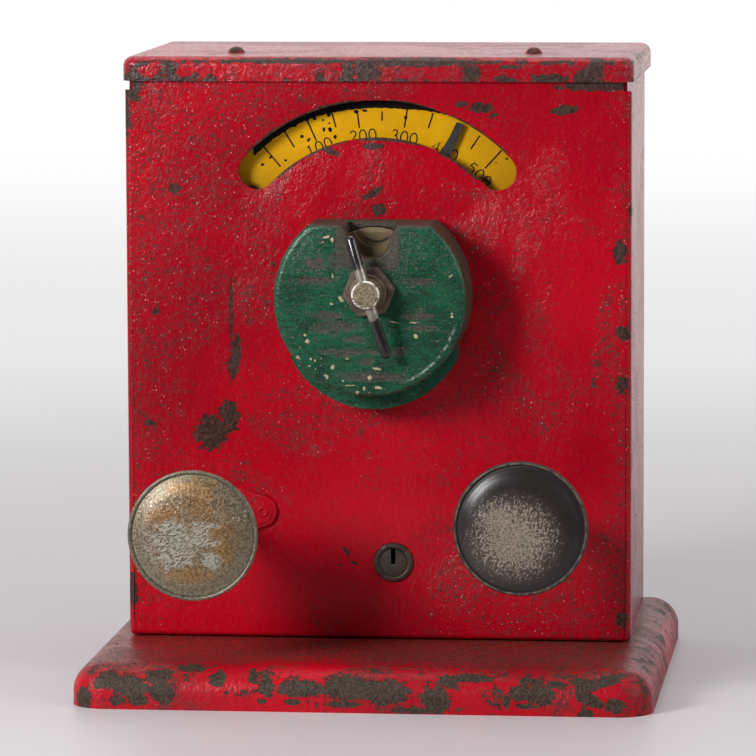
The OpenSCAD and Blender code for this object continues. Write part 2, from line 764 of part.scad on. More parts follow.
module knob_face_profile(r) {
    rim_t = knob_out - 3.4;
    seam = r - 2 * bead_r - 0.02;
    polygon([[0, knob_out], [r * 0.45, knob_out - 0.4], [r * 0.7, knob_out - 1.1],
        [r * 0.82, knob_out - 1.9], [r * 0.88, knob_out - 3], [seam, rim_t],
        [seam, rim_t - knob_wall], [r * 0.88 - 0.9, knob_out - 3 - knob_wall],
        [r * 0.82 - 0.7, knob_out - 1.9 - knob_wall], [r * 0.7, knob_out - 1.1 - knob_wall],
        [r * 0.45, knob_out - 0.4 - knob_wall], [0, knob_out - knob_wall]]);
}

module knob_back_profile(r) {
    rim_t = knob_out - 3.4 - knob_wall;
    neck = stem_r + 4;
    deep = knob_deep - 3.4 - knob_wall;
    steps = 8;
    function bell(i, cut) = [neck - cut + (r - 2.6 - neck) * sin(90 * i / steps),
        rim_t - deep * cos(90 * i / steps)];
    polygon(concat([for (i = [0:steps]) bell(i, 0)], [[r - 2.6, rim_t], [r - 4.4, rim_t]],
        [for (i = [steps:-1:0]) bell(i, i == 0 ? 4 - run : knob_wall) + [0, i == 0 ? knob_wall
            : knob_wall / 2]], [[stem_r + run, rim_t - deep]]));
    translate([r - bead_r, rim_t + 0.6]) circle(bead_r);
    translate([r - 2.7, rim_t - 0.6]) square([1.5, 0.6]);
}

module left_knob_front() {
    color("peru") turned(-left_x, front_y, left_z) knob_face_profile(left_r);
}

module left_knob_back() {
    color("peru") turned(-left_x, front_y, left_z) knob_back_profile(left_r);
}

module right_knob_front() {
    color("dimgray") turned(right_x, front_y, right_z) knob_face_profile(right_r);
}

module right_knob_back() {
    color("dimgray") turned(right_x, front_y, right_z) knob_back_profile(right_r);
}

stem_front = front_y - knob_out + knob_wall + 1;

module left_stem() {
    color("tan") {
        ycyl(-left_x, stem_front, left_z, panel_y + 14 - stem_front, stem_r);
        yplate(panel_y + nut_t + 1.2, 4) translate([-left_x, left_z]) hexagon(16);
    }
}

// Insulating bushings of both stems, each with a flange in front of the panel
module stem_bushings() {
    color("black") for (p = [[-left_x, left_z, ear_t], [right_x, right_z, 0]]) difference() {
        union() {
            ycyl(p[0], front_y - p[2], p[1], nut_t + sheet + 0.2 + p[2], stem_r + 3);
            ycyl(p[0], front_y - p[2] - 4, p[1], 4, stem_r + 7);
        }
        ycyl(p[0], front_y - 10, p[1], 24, stem_r + run);
    }
}

module ear_plate() {
    color("firebrick") difference() {
        yplate(front_y - ear_t, ear_t) translate([-left_x, left_z]) hull() {
            circle(13.5, $fn = 32);
            for (s = [-1, 1]) translate([s * (ear_gap / 2 - 1), 0]) circle(7.4, $fn = 32);
        }
        ycyl(-left_x, front_y - ear_t - 1, left_z, ear_t + 2, stem_r + 3 + run);
        for (s = [-1, 1])
            ycyl(-left_x + s * ear_gap / 2, front_y - ear_t - 1, left_z, ear_t + 2, 2 + run);
    }
}

module ear_rivets() {
    color("darkred") for (s = [-1, 1]) {
        ycyl(-left_x + s * ear_gap / 2, front_y - ear_t, left_z, ear_t + sheet + 1, 2);
        turned(-left_x + s * ear_gap / 2, front_y - ear_t, left_z) dome_profile(2.6, 1.1);
        ycyl(-left_x + s * ear_gap / 2, panel_y, left_z, 1, 3);
    }
}

module coil_board() {
    color("saddlebrown") box([coil_x - 31, plate_y + plate_t, coil_z - 12], [coil_x + coil_half,
        plate_y + plate_t + 5, coil_top + 18]);
}

bore_r = core_r + 2.5;

module coil_bobbin() {
    cheek = 3;
    color("maroon") difference() {
        union() {
            for (z = [coil_z, coil_top - cheek]) box([coil_x - coil_half, coil_y - coil_half, z],
                [coil_x + coil_half, coil_y + coil_half, z + cheek]);
            zcyl(coil_x, coil_y, coil_z, coil_len, bore_r + 1);
        }
        zcyl(coil_x, coil_y, coil_z - 1, coil_len - cheek + 1, bore_r);
        zcyl(coil_x, coil_y, coil_z, coil_len + 1, core_r + run);
    }
}

module coil_winding() {
    color("sienna") difference() {
        zcyl(coil_x, coil_y, coil_z + 3, coil_len - 6, winding_r);
        zcyl(coil_x, coil_y, coil_z + 2, coil_len - 4, bore_r + 1 + run);
    }
}

module iron_core() {
    color("dimgray") {
        zcyl(coil_x, coil_y, coil_z + 11, coil_len - 6, core_r);
        zcyl(coil_x, coil_y, coil_top, 1.5, core_r + 2);
    }
}

core_top = coil_top + 5;
blade_z = core_top + 4.2;
root_x = coil_x - 26;

// Brass bracket with a foot for the armature's spring and an arm for the contact screw
module contact_bracket() {
    screw_x0 = coil_x - 9;
    color("goldenrod") difference() {
        union() {
            box([root_x, coil_y - 5, blade_z - 6.1], [root_x + 8, plate_y + plate_t, blade_z - 0.1]);
            box([root_x, coil_y + 6, blade_z - 6.1], [root_x + 8, plate_y + plate_t, blade_z + 10]);
            box([root_x, coil_y - 5, blade_z + 6], [screw_x0 + 6, coil_y + 12, blade_z + 10]);
        }
        zcyl(screw_x0, coil_y, blade_z + 5, 6, 2 + run);
    }
}

module contact_screw() {
    screw_x0 = coil_x - 9;
    color("silver") {
        zcyl(screw_x0, coil_y, blade_z + 0.9, 12, 2);
        zcyl(screw_x0, coil_y, blade_z + 12, 3, 5);
    }
}

module armature() {
    color("lightsteelblue") {
        box([root_x + 1, coil_y - 4, blade_z], [coil_x + 5, coil_y + 4, blade_z + 0.6]);
        zcyl(coil_x, coil_y, blade_z - 3, 3, 5);
    }
}

barrel_len = 15;

module lock_barrel() {
    color("dimgray") difference() {
        union() {
            ycyl(lock_x, front_y - 1.6, lock_z, 1.6, lock_r + 1);
            ycyl(lock_x, front_y, lock_z, sheet + barrel_len, lock_r);
        }
        ycyl(lock_x, front_y - 3, lock_z, sheet + barrel_len + 4, plug_r + run);
    }
}

// The keyway runs from the plug's centre upwards
module lock_plug() {
    color("black") difference() {
        union() {
            ycyl(lock_x, front_y - 1.2, lock_z, sheet + barrel_len + 1.4, plug_r);
            ycyl(lock_x, front_y, lock_z, sheet + barrel_len + 2.4, 3);
        }
        box([lock_x - 0.85, front_y - 2, lock_z - 0.8], [lock_x + 0.85, front_y + 12,
            lock_z + plug_r + 1]);
    }
}

module lock_cam() {
    cam_y = panel_y + barrel_len + 0.3;
    color("gray") difference() {
        union() {
            ycyl(lock_x, cam_y, lock_z, 2, 6);
            box([lock_x, cam_y, lock_z - 4], [lock_x + cam_len, cam_y + 2, lock_z + 4]);
        }
        ycyl(lock_x, cam_y - 1, lock_z, 4, 3);
    }
}

module contact_studs() {
    color("goldenrod") for (z = contact_zs) {
        ycyl(stud_x, panel_y, z, 2, 5);
        ycyl(stud_x, panel_y, z, stud_end - panel_y, 3);
    }
}

behind = plate_y + plate_t + 3;

// Two leads from the studs to the interrupter, and one from each knob to the coil
module door_leads() {
    color("darkslategray") {
        wire(curve([[stud_x + 5.4, panel_y + 1.6, contact_zs[0]],
            [stud_x + 9, panel_y + 1.8, contact_zs[0]],
            [stud_x + 15, panel_y + 9, contact_zs[0] - 7], [-73, plate_y - 16, 106],
            [-72, plate_y - 2, 92], [-62, behind, 80], [-30, behind, 74],
            [30, behind, 68], [root_x - 14, behind, 84], [root_x - 11, behind, 150],
            [root_x - 11, behind, blade_z - 9], [root_x - 10.5, behind - 1, blade_z + 3],
            [root_x - 7, coil_y + 14, blade_z + 4], [root_x - 3, coil_y + 14, blade_z],
            [root_x - 0.9, coil_y + 14, blade_z - 3]]), lead_r);
        wire(curve([[stud_x + 5.4, panel_y + 1.6, contact_zs[1]],
            [stud_x + 9, panel_y + 1.8, contact_zs[1]],
            [stud_x + 16, panel_y + 9, contact_zs[1] + 6], [-73, plate_y - 14, 172],
            [-72, plate_y - 1, 200], [-62, behind, 217], [0, behind, 222], [60, behind, 226],
            [coil_x - 15, coil_y + 12, blade_z + 31], [coil_x - 9, coil_y + 2, blade_z + 26],
            [coil_x - 9, coil_y, blade_z + 15.3]]), lead_r);
        wire(curve([[-left_x, panel_y + 14.3, left_z], [-left_x, panel_y + 22, left_z],
            [-64, behind, 70], [-20, behind, 64], [40, behind, 59], [coil_x - 17, behind, 57],
            [coil_x + 5, behind - 2, 72], [coil_x + 11, coil_y + 12, 92],
            [coil_x + 10, coil_y + 12, coil_z - 12], [coil_x + 10, coil_y + 12, coil_z - 0.3]]),
            lead_r);
    }
}

module coin_shaft() {
    tip = face_y - 15.5;
    color("tan") difference() {
        union() {
            ycyl(0, tip, shaft_z, plate_y - 0.5 - tip, shaft_r);
            ycyl(0, face_y - gland_t - 1.4, shaft_z, 1.2, shaft_r + 1.7);
            ycyl(0, neck_end + 0.1, shaft_z, 1.5, shaft_r + 1.7);
            ycyl(0, plate_y - 0.5, shaft_z, plate_t + 1, shaft_r - 2);
        }
        translate([0, rod_y, shaft_z]) rotate([0, rod_angle, 0])
            cylinder(h = 30, r = rod_r + 0.5, center = true);
    }
}

// Bent rod through the shaft, its tips curved back towards the panel
module handle_rod() {
    bow = (rod_len * rod_len / 4 + rod_bend * rod_bend) / (2 * rod_bend);
    half = asin(rod_len / 2 / bow);
    color("dimgray") translate([0, rod_y, shaft_z]) rotate([0, rod_angle, 0])
        translate([0, bow, -rod_slide]) rotate([0, 90, 0]) rotate([0, 0, -90 - half])
            rotate_extrude(angle = 2 * half) translate([bow, 0]) circle(rod_r);
}

module coin_drum() {
    back_t = head_body_t - 6.5;
    pocket = 4 * coin_t;                    // room for the coin to tip in
    mid = shaft_z + head_top - 5.8;
    color("darkgoldenrod") difference() {
        ycyl(0, disc_y + 0.5, shaft_z, back_t, drum_r);
        ycyl(0, disc_y - 1, shaft_z, back_t + 4, shaft_r + 0.02);
        ycyl(0, disc_y, mid, pocket, coin_d / 2 + 0.3);
        box([-coin_d / 2 - 0.3, disc_y, mid], [coin_d / 2 + 0.3, disc_y + pocket, mid + 20]);
        ycyl(0, disc_y, mid + 3.5, pocket + 4, coin_d / 2 - 1);
        box([-coin_d / 2 + 1, disc_y, mid + 3.5], [coin_d / 2 - 1, disc_y + pocket + 4, mid + 20]);
    }
}

wheel_y = plate_y - 14;

module drive_wheel() {
    color("gold") difference() {
        yplate(wheel_y, 3) translate(drive_at) gear_outline(train_m, drive_n, second_dir);
        ycyl(0, wheel_y - 1, shaft_z, 5, shaft_r + 0.02);
        for (a = [0:72:288]) ycyl(polar(18, a)[0], wheel_y - 1, shaft_z + polar(18, a)[1], 5, 5);
    }
}

module second_arbor() {
    color("lightsteelblue") {
        ycyl(second_at[0], bridge_y, second_at[1], plate_y + plate_t - bridge_y, arbor_r);
        yplate(wheel_y - 0.5, 4) translate(second_at)
            gear_outline(train_m, second_pinion_n, second_dir + 180 + 180 / second_pinion_n);
    }
}

module second_wheel() {
    color("gold") difference() {
        yplate(wheel_y + 6, 2) translate(second_at) gear_outline(train_m, second_n, 180);
        ycyl(second_at[0], wheel_y, second_at[1], 12, arbor_r + 0.02);
        for (a = [45:90:315]) ycyl(second_at[0] + polar(13, a)[0], wheel_y,
            second_at[1] + polar(13, a)[1], 12, 5);
    }
}

module fan_arbor() {
    color("lightsteelblue") {
        ycyl(fan_at[0], bridge_y, fan_at[1], plate_y + plate_t - bridge_y, arbor_r);
        yplate(wheel_y + 5.5, 3) translate(fan_at)
            gear_outline(train_m, fan_pinion_n, 180 / fan_pinion_n);
    }
}

module fan() {
    fan_y = bridge_y + 4;
    color("silver") difference() {
        union() {
            ycyl(fan_at[0], fan_y, fan_at[1], 9, 4);
            box([fan_at[0] - fan_r, fan_y + 1, fan_at[1] - 0.4], [fan_at[0] + fan_r, fan_y + 8,
                fan_at[1] + 0.4]);
        }
        ycyl(fan_at[0], fan_y - 1, fan_at[1], 11, arbor_r + 0.02);
    }
}

module regulator_stem() {
    color("tan") {
        ycyl(right_x, stem_front, right_z, plate_y - 0.5 - stem_front, stem_r);
        ycyl(right_x, plate_y - 0.5, right_z, plate_t + 1, stem_r - 1.5);
    }
}

module crank(at, bore) {
    pin = at + polar(crank_r, crank_dir);
    difference() {
        ycyl(at[0], hub_y, at[1], hub_t, crank_r + 3.5);
        ycyl(at[0], hub_y - 1, at[1], hub_t + 2, bore);
    }
    ycyl(pin[0], hub_y + hub_t, pin[1], pin_end - hub_y - hub_t, pin_r);
}

module regulator_crank() {
    color("goldenrod") crank(right_at, stem_r + 0.02);
}

module regulator_pinion() {
    color("gold") difference() {
        yplate(coil_y - 3, 6) translate(right_at) gear_outline(rack_m, rack_pinion_n, 90);
        ycyl(right_x, coil_y - 4, right_z, 8, stem_r + 0.02);
    }
}

module pointer() {
    blade = 0.9;
    wide = 2.4;
    neck = window_r - window_w - 0.5;
    tip = window_r - 1.5;
    color("black") {
        crank(drive_at, neck_r + run);
        translate([0, hub_y + 0.3, shaft_z]) rotate([0, pointer_at, 0]) yplate(0, blade)
            polygon([[-wide, crank_r], [wide, crank_r], [wide, neck], [pointer_w / 2, tip],
                [-pointer_w / 2, tip], [-wide, neck]]);
    }
}

module link_rod() {
    a = right_at + polar(crank_r, crank_dir);
    b = drive_at + polar(crank_r, crank_dir);
    side = link_half * unit([(b - a)[1], (a - b)[0]]);
    color("silver") difference() {
        yplate(link_y, link_t) {
            for (p = [a, b]) translate(p) circle(4.5);
            polygon([a + side, b + side, b - side, a - side]);
        }
        for (p = [a, b]) ycyl(p[0], link_y - 1, p[1], link_t + 2, pin_r + run);
    }
}

tube_low = coil_z - 18;

module damper_tube() {
    color("goldenrod") difference() {
        zcyl(coil_x, coil_y, tube_low, coil_len - 10, core_r + 1.7);
        zcyl(coil_x, coil_y, tube_low - 1, coil_len - 8, core_r + 0.7);
    }
}

// Vertical rack that the pinion drives, with a plug in the tube's lower end
module damper_rack() {
    pitch = PI * rack_m;
    line = right_x + rack_r;
    tip = addendum * rack_m;
    root = dedendum * rack_m;
    mid = pitch / 4 - tooth_play / 2;
    low = right_z - 6 * pitch;
    color("gold") {
        yplate(coil_y - 3, 6) union() {
            for (k = [-6:3]) let (z = right_z + (k + 0.5) * pitch) polygon([
                [line - tip, z - mid + tip * tan(pressure)],
                [line - tip, z + mid - tip * tan(pressure)],
                [line + root, z + mid + root * tan(pressure)],
                [line + root, z - mid - root * tan(pressure)]]);
            translate([line + root, low]) square([4, tube_low - low + 0.01]);
        }
        zcyl(coil_x, coil_y, tube_low, 6, core_r + 0.7);
    }
}

base();
case_shell();
lid();
lid_rivets();
lid_clips();
case_screws();
lock_catch();
dry_cell();
cell_posts();
battery_strap();
coin_tray();
contact_block();
contact_springs();
battery_leads();
front_panel();
dial_plate();
head_body();
head_front();
gland_nut();
panel_nuts();
coin_chute();
mech_plate();
mech_pillars();
train_bridge();
mainspring();
left_knob_front();
left_knob_back();
left_stem();
stem_bushings();
ear_plate();
ear_rivets();
coil_board();
coil_bobbin();
coil_winding();
iron_core();
contact_bracket();
contact_screw();
lock_barrel();
contact_studs();
door_leads();
coin_shaft();
handle_rod();
coin_drum();
drive_wheel();
second_arbor();
second_wheel();
fan_arbor();
fan();
right_knob_front();
right_knob_back();
regulator_stem();
regulator_crank();
regulator_pinion();
pointer();
link_rod();
damper_tube();
damper_rack();
lock_plug();
lock_cam();
armature();
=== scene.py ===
# %% [markdown]
# # A coin-operated shock machine
# The machine is a steel box on a cast base. A green coin head with a bent handle sits on its front,
# a yellow dial shows through an arc window, and two metal knobs stand far out in front.
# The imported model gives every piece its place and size, so this lesson only adds finer shapes and
# finishes. All sizes here are in millimetres, in the model's own frame, and are turned to metres
# where a mesh is made.
# %% Load the frame
import math

import bmesh
import bpy
import numpy as np
from mathutils import Matrix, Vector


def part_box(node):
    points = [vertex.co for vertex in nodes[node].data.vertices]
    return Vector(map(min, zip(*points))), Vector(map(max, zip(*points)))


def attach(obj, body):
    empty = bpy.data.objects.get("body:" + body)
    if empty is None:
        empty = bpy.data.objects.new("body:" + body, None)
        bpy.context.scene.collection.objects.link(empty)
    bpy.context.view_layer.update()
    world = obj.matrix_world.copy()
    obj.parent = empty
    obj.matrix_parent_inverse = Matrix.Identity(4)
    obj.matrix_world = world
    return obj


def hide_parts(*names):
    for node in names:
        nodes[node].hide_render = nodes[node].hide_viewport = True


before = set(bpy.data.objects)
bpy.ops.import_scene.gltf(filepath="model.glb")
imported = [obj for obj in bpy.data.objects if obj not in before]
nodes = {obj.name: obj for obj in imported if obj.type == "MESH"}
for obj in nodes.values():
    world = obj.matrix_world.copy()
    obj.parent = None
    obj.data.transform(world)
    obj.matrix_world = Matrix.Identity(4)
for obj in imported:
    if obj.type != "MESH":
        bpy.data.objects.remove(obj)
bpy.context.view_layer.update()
MM = 0.001


def low(node):
    """Lowest corner of a node at rest, in mm."""
    return np.array(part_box(node)[0]) / MM


def high(node):
    """Highest corner of a node at rest, in mm."""
    return np.array(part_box(node)[1]) / MM


FRONT_Y = low("front_panel")[1]
SHAFT_Z = (low("coin_shaft") + high("coin_shaft"))[2] / 2
FACE_Y = low("head_front")[1]
LEFT = (low("left_knob_front") + high("left_knob_front")) / 2
RIGHT = (low("right_knob_front") + high("right_knob_front")) / 2
LOCK = (low("lock_plug") + high("lock_plug")) / 2
print("nodes", len(nodes), "panel at y", round(FRONT_Y, 2), "shaft at z", round(SHAFT_Z, 2))

# %% [markdown]
# ## Camera
# A photographer stood about two metres away with a long lens, slightly to the right and a little
# above. The three angles and the distance were fitted to the straight edges of the case. A matrix
# built from the three view directions is the most direct way to put a camera exactly there.
# %% Place the camera
CAMERA_AT = np.array([260.3, -2333.4, 412.6])
YAW, PITCH, ROLL = (math.radians(a) for a in (6.43, 6.727, 0.21))


def view_matrix(at, yaw, pitch, roll):
    """Camera matrix: looks along +Y, turned left by yaw, down by pitch, then rolled about its axis."""
    ahead = np.array([-math.sin(yaw) * math.cos(pitch), math.cos(yaw) * math.cos(pitch),
                      -math.sin(pitch)])
    right = np.cross(ahead, [0, 0, 1])
    right /= np.linalg.norm(right)
    up = np.cross(right, ahead)
    turn = np.array([[math.cos(roll), -math.sin(roll)], [math.sin(roll), math.cos(roll)]])
    right, up = turn @ np.array([right, up])
    m = np.eye(4)
    m[:3, 0], m[:3, 1], m[:3, 2], m[:3, 3] = right, up, -ahead, at * MM
    return Matrix(m.tolist())


lens = bpy.data.cameras.new("camera")
lens.sensor_width = 36
lens.lens = 246.7
lens.clip_start, lens.clip_end = 0.05, 30
camera = bpy.data.objects.new("camera", lens)
camera.matrix_world = view_matrix(CAMERA_AT, YAW, PITCH, ROLL)
bpy.context.collection.objects.link(camera)
bpy.context.scene.camera = camera
print("lens", round(lens.lens, 1), "mm")

# %% [markdown]
# ## Mesh helpers
# Almost every piece here is a grid of points: rows run along a profile, columns run round an axis or
# along a path. One helper turns such a grid into faces, and one makes an object of it, welds the
# doubled points, turns the faces outwards and lets the piece ride on its body.
# %% Grid faces and pieces
def quads(rows, cols, wrap_rows=False, wrap_cols=True):
    """Faces between neighbouring rows and columns of a grid, closed on itself where a wrap is set."""
    i, j = np.meshgrid(np.arange(rows if wrap_rows else rows - 1),
                       np.arange(cols if wrap_cols else cols - 1), indexing="ij")
    i2, j2 = (i + 1) % rows, (j + 1) % cols
    return np.stack([i * cols + j, i * cols + j2, i2 * cols + j2, i2 * cols + j], -1).reshape(-1, 4)


def shade(mesh, angle=32):
    """Smooth shading, with edges sharper than the angle kept crisp."""
    mesh.shade_smooth()
    mesh.set_sharp_from_angle(angle=math.radians(angle))


def piece_from(bm, name, body, replaces, look, angle=32):
    """Makes a finished object of a bmesh in mm: doubles merged, faces outwards, riding on a body."""
    bmesh.ops.remove_doubles(bm, verts=bm.verts, dist=0.002)
    bmesh.ops.dissolve_degenerate(bm, dist=0.0005, edges=bm.edges)
    bmesh.ops.recalc_face_normals(bm, faces=bm.faces)
    bmesh.ops.scale(bm, vec=(MM, MM, MM), verts=bm.verts)
    mesh = bpy.data.meshes.new(name)
    bm.to_mesh(mesh)
    bm.free()
    shade(mesh, angle)
    piece = bpy.data.objects.new(name, mesh)
    bpy.context.collection.objects.link(piece)
    mesh.materials.append(look)
    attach(piece, body)
    if replaces:
        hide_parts(*replaces)
    print(name, len(mesh.polygons), "faces")


def bm_grid(bm, points, wrap_rows=False, wrap_cols=True):
    """Adds a grid of points of shape (rows, cols, 3) to a bmesh and returns its rows of vertices."""
    rows, cols = points.shape[:2]
    part = bpy.data.meshes.new("part")
    part.from_pydata(points.reshape(-1, 3).tolist(), [],
                     quads(rows, cols, wrap_rows, wrap_cols).tolist())
    first = len(bm.verts)
    bm.from_mesh(part)
    bpy.data.meshes.remove(part)
    bm.verts.ensure_lookup_table()
    return [bm.verts[first + r * cols:first + (r + 1) * cols] for r in range(rows)]


# %% [markdown]
# ## Profiles and outlines
# A sharp corner looks false on worn metal. Each corner of a profile or an outline is replaced by a
# short quadratic curve between two points at a chosen distance from the corner. Moving an outline
# inwards along the bisectors of its corners gives the rings of a rounded edge.
# %% Soft corners, insets and plates
def soften(points, cut, steps=5, closed=True):
    """Each corner P becomes (1-t)^2 A + 2t(1-t) P + t^2 B, where A and B lie at the cut's distance."""
    p = np.asarray(points, float)
    cut = np.array(np.broadcast_to(cut, len(p)), float)
    if not closed:
        cut[[0, -1]] = 0
    back, ahead = np.roll(p, 1, 0) - p, np.roll(p, -1, 0) - p
    size_b = np.linalg.norm(back, axis=1) + 1e-12
    size_a = np.linalg.norm(ahead, axis=1) + 1e-12
    a = p + back * (np.minimum(cut, size_b * 0.49) / size_b)[:, None]
    b = p + ahead * (np.minimum(cut, size_a * 0.49) / size_a)[:, None]
    t = np.linspace(0, 1, steps)[None, :, None]
    curve = (1 - t) ** 2 * a[:, None] + 2 * t * (1 - t) * p[:, None] + t * t * b[:, None]
    return distinct(curve.reshape(-1, p.shape[1]))


def distinct(p):
    """Leaves out points that repeat the one before."""
    return p[np.linalg.norm(p - np.roll(p, 1, 0), axis=1) > 1e-4]


def inset(outline, d):
    """Moves a counter-clockwise outline inwards by d along the bisectors of its corners."""
    before, after = outline - np.roll(outline, 1, 0), np.roll(outline, -1, 0) - outline
    n1 = np.stack([-before[:, 1], before[:, 0]], 1) / np.linalg.norm(before, axis=1)[:, None]
    n2 = np.stack([-after[:, 1], after[:, 0]], 1) / np.linalg.norm(after, axis=1)[:, None]
    mid = n1 + n2
    mid /= np.linalg.norm(mid, axis=1)[:, None] + 1e-12
    lean = np.clip((mid * n1).sum(1), 0.4, 1)
    return outline + mid * (np.broadcast_to(d, len(outline)) / lean)[:, None]


def arc(centre, radius, start, stop, count):
    """Centre + radius (cos a, sin a): degrees from +X towards +Z; a pair of radii gives an oval."""
    a = np.radians(np.linspace(start, stop, count))
    return np.asarray(centre) + np.asarray(radius) * np.stack([np.cos(a), np.sin(a)], 1)


def circle(centre, radius, count=48):
    """A closed circle of distinct points, counter-clockwise."""
    return arc(centre, radius, 0, 360 * (1 - 1 / count), count)


def at_depth(outline, y):
    """An outline in x and z put at a depth or at one depth per point."""
    return np.stack([outline[:, 0], np.broadcast_to(y, len(outline)), outline[:, 1]], 1)


def close_loop(bm, loops):
    """Fills the flat face between closed loops: the first is its outside, the rest are holes."""
    edges = [bm.edges.get((loop[i - 1], loop[i])) or bm.edges.new((loop[i - 1], loop[i]))
             for loop in loops for i in range(len(loop))]
    bmesh.ops.triangle_fill(bm, use_beauty=True, use_dissolve=False, edges=edges)


def plate_mesh(outline, y, thick, edge=0.5, holes=(), back_edge=0.0, steps=4, reach=None):
    """A plate facing -Y with holes; its front edge is a quarter ellipse, edge deep and reach wide."""
    bm = bmesh.new()
    a = np.linspace(0, math.pi / 2, steps + 1)

    def rings(shape, sign):
        r = edge if sign > 0 else min(edge, 0.4)
        wide = r if reach is None or sign < 0 else reach
        front = [at_depth(inset(shape, sign * wide * (1 - math.sin(k))), y + r * (1 - math.cos(k)))
                 for k in a]
        rb = max(back_edge, 0.01)
        back = [at_depth(inset(shape, sign * rb * (1 - math.cos(k))),
                         y + thick - rb * (1 - math.sin(k))) for k in a]
        return bm_grid(bm, np.array(front + back))

    outer = rings(outline, 1)
    inner = [rings(h, -1) for h in holes]
    close_loop(bm, [outer[0]] + [h[0] for h in inner])
    close_loop(bm, [outer[-1]] + [h[-1] for h in inner])
    return bm


def turned_mesh(profile, at, steps):
    """A closed profile of (radius, forward) turned about an axis along Y: x = r sin a, z = r cos a."""
    r, t = np.asarray(profile, float).T
    a = np.linspace(0, 2 * math.pi, steps, endpoint=False)
    side, up = r[:, None] * np.sin(a), r[:, None] * np.cos(a)
    along = np.broadcast_to(t[:, None], side.shape)
    bm = bmesh.new()
    bm_grid(bm, np.stack([at[0] + side, at[1] - along, at[2] + up], -1), wrap_rows=True)
    return bm


def through(points, steps=6):
    """A smooth open curve through points: the Catmull-Rom blend of each four neighbours."""
    p = np.asarray(points, float)
    q = np.vstack([2 * p[0] - p[1], p, 2 * p[-1] - p[-2]])
    t = np.linspace(0, 1, steps, endpoint=False)[None, :, None]
    a, b, c, d = (q[i:len(q) - 3 + i, None] for i in range(4))
    square, cube = 2 * a - 5 * b + 4 * c - d, 3 * b - a - 3 * c + d
    curve = 0.5 * (2 * b + (c - a) * t + square * t ** 2 + cube * t ** 3)
    return np.vstack([curve.reshape(-1, p.shape[1]), p[-1:]])


# %% [markdown]
# ## Shader groups
# Old paint is not one colour. It chips to the primer, it carries fine light specks and it darkens in
# patches. Each effect is one node group, so that red paint, green paint and metal can all use it with
# their own scale and strength. A group reads the Object coordinates and gives back masks only.
# %% Node helpers
def socket(tree, name, kind, value=None, out=False):
    """Adds one named input or output to a node group."""
    s = tree.interface.new_socket(name, in_out="OUTPUT" if out else "INPUT",
                                  socket_type="NodeSocket" + kind)
    if value is not None:
        s.default_value = value
    return s


def feed(tree, target, value):
    """Links an output to an input, or sets the input's plain value."""
    if isinstance(value, bpy.types.NodeSocket):
        tree.links.new(value, target)
    else:
        target.default_value = value


class Nodes:
    """Adds nodes to a tree in short calls: each call returns the new node's first output."""

    def __init__(self, tree):
        self.tree = tree

    def add(self, kind, inputs=(), out=0, **settings):
        node = self.tree.nodes.new(kind)
        for key, value in settings.items():
            setattr(node, key, value)
        for key, value in dict(inputs).items():
            feed(self.tree, node.inputs[key], value)
        return node.outputs[out]

    def math(self, operation, a, b=0.0, clamp=False):
        return self.add("ShaderNodeMath", {0: a, 1: b}, operation=operation, use_clamp=clamp)

    def plus(self, a, b, clamp=False):
        return self.math("ADD", a, b, clamp)

    def minus(self, a, b):
        return self.math("SUBTRACT", a, b)

    def times(self, a, b, clamp=False):
        return self.math("MULTIPLY", a, b, clamp)

    def most(self, a, b):
        return self.math("MAXIMUM", a, b)

    def swing(self, value, reach):
        """A value around one half becomes one around zero, reach wide."""
        return self.times(self.minus(value, 0.5), reach)

    def noise(self, vector, scale, detail=4.0, rough=0.55, warp=0.0):
        return self.add("ShaderNodeTexNoise", {"Vector": vector, "Scale": scale, "Detail": detail,
                                               "Roughness": rough, "Distortion": warp})

    def step(self, value, start, stop, low_value=0.0, high_value=1.0):
        return self.add("ShaderNodeMapRange", {"Value": value, "From Min": start, "From Max": stop,
                                               "To Min": low_value, "To Max": high_value},
                        interpolation_type="SMOOTHSTEP")

    def mix(self, factor, a, b):
        """Colour a where the factor is 0 and colour b where it is 1."""
        node = self.tree.nodes.new("ShaderNodeMix")
        node.data_type = "RGBA"
        feed(self.tree, node.inputs["Factor"], factor)
        for name, value in (("A", a), ("B", b)):
            colour_in = [i for i in node.inputs if i.name == name and i.type == "RGBA"][0]
            feed(self.tree, colour_in, (*value, 1.0) if isinstance(value, tuple) else value)
        return [o for o in node.outputs if o.type == "RGBA"][0]

    def layer(self, colour, mask, amount, other):
        """Lays another colour over the first where the mask is, at most by the amount."""
        return self.mix(self.times(mask, amount), colour, other)

    def shift(self, vector, offset=(0, 0, 0), scale=(1, 1, 1), turn=(0, 0, 0)):
        return self.add("ShaderNodeMapping", {"Vector": vector, "Location": offset, "Scale": scale,
                                              "Rotation": turn})


def new_group(name, inputs, outputs):
    """An empty node group with float inputs and outputs and a Vector input; returns its parts."""
    tree = bpy.data.node_groups.new(name, "ShaderNodeTree")
    socket(tree, "Vector", "Vector")
    for key, value in inputs.items():
        socket(tree, key, "Float", value)
    for key in outputs:
        socket(tree, key, "Float", out=True)
    start, end = tree.nodes.new("NodeGroupInput"), tree.nodes.new("NodeGroupOutput")
    return tree, Nodes(tree), start.outputs, lambda key, value: tree.links.new(value, end.inputs[key])


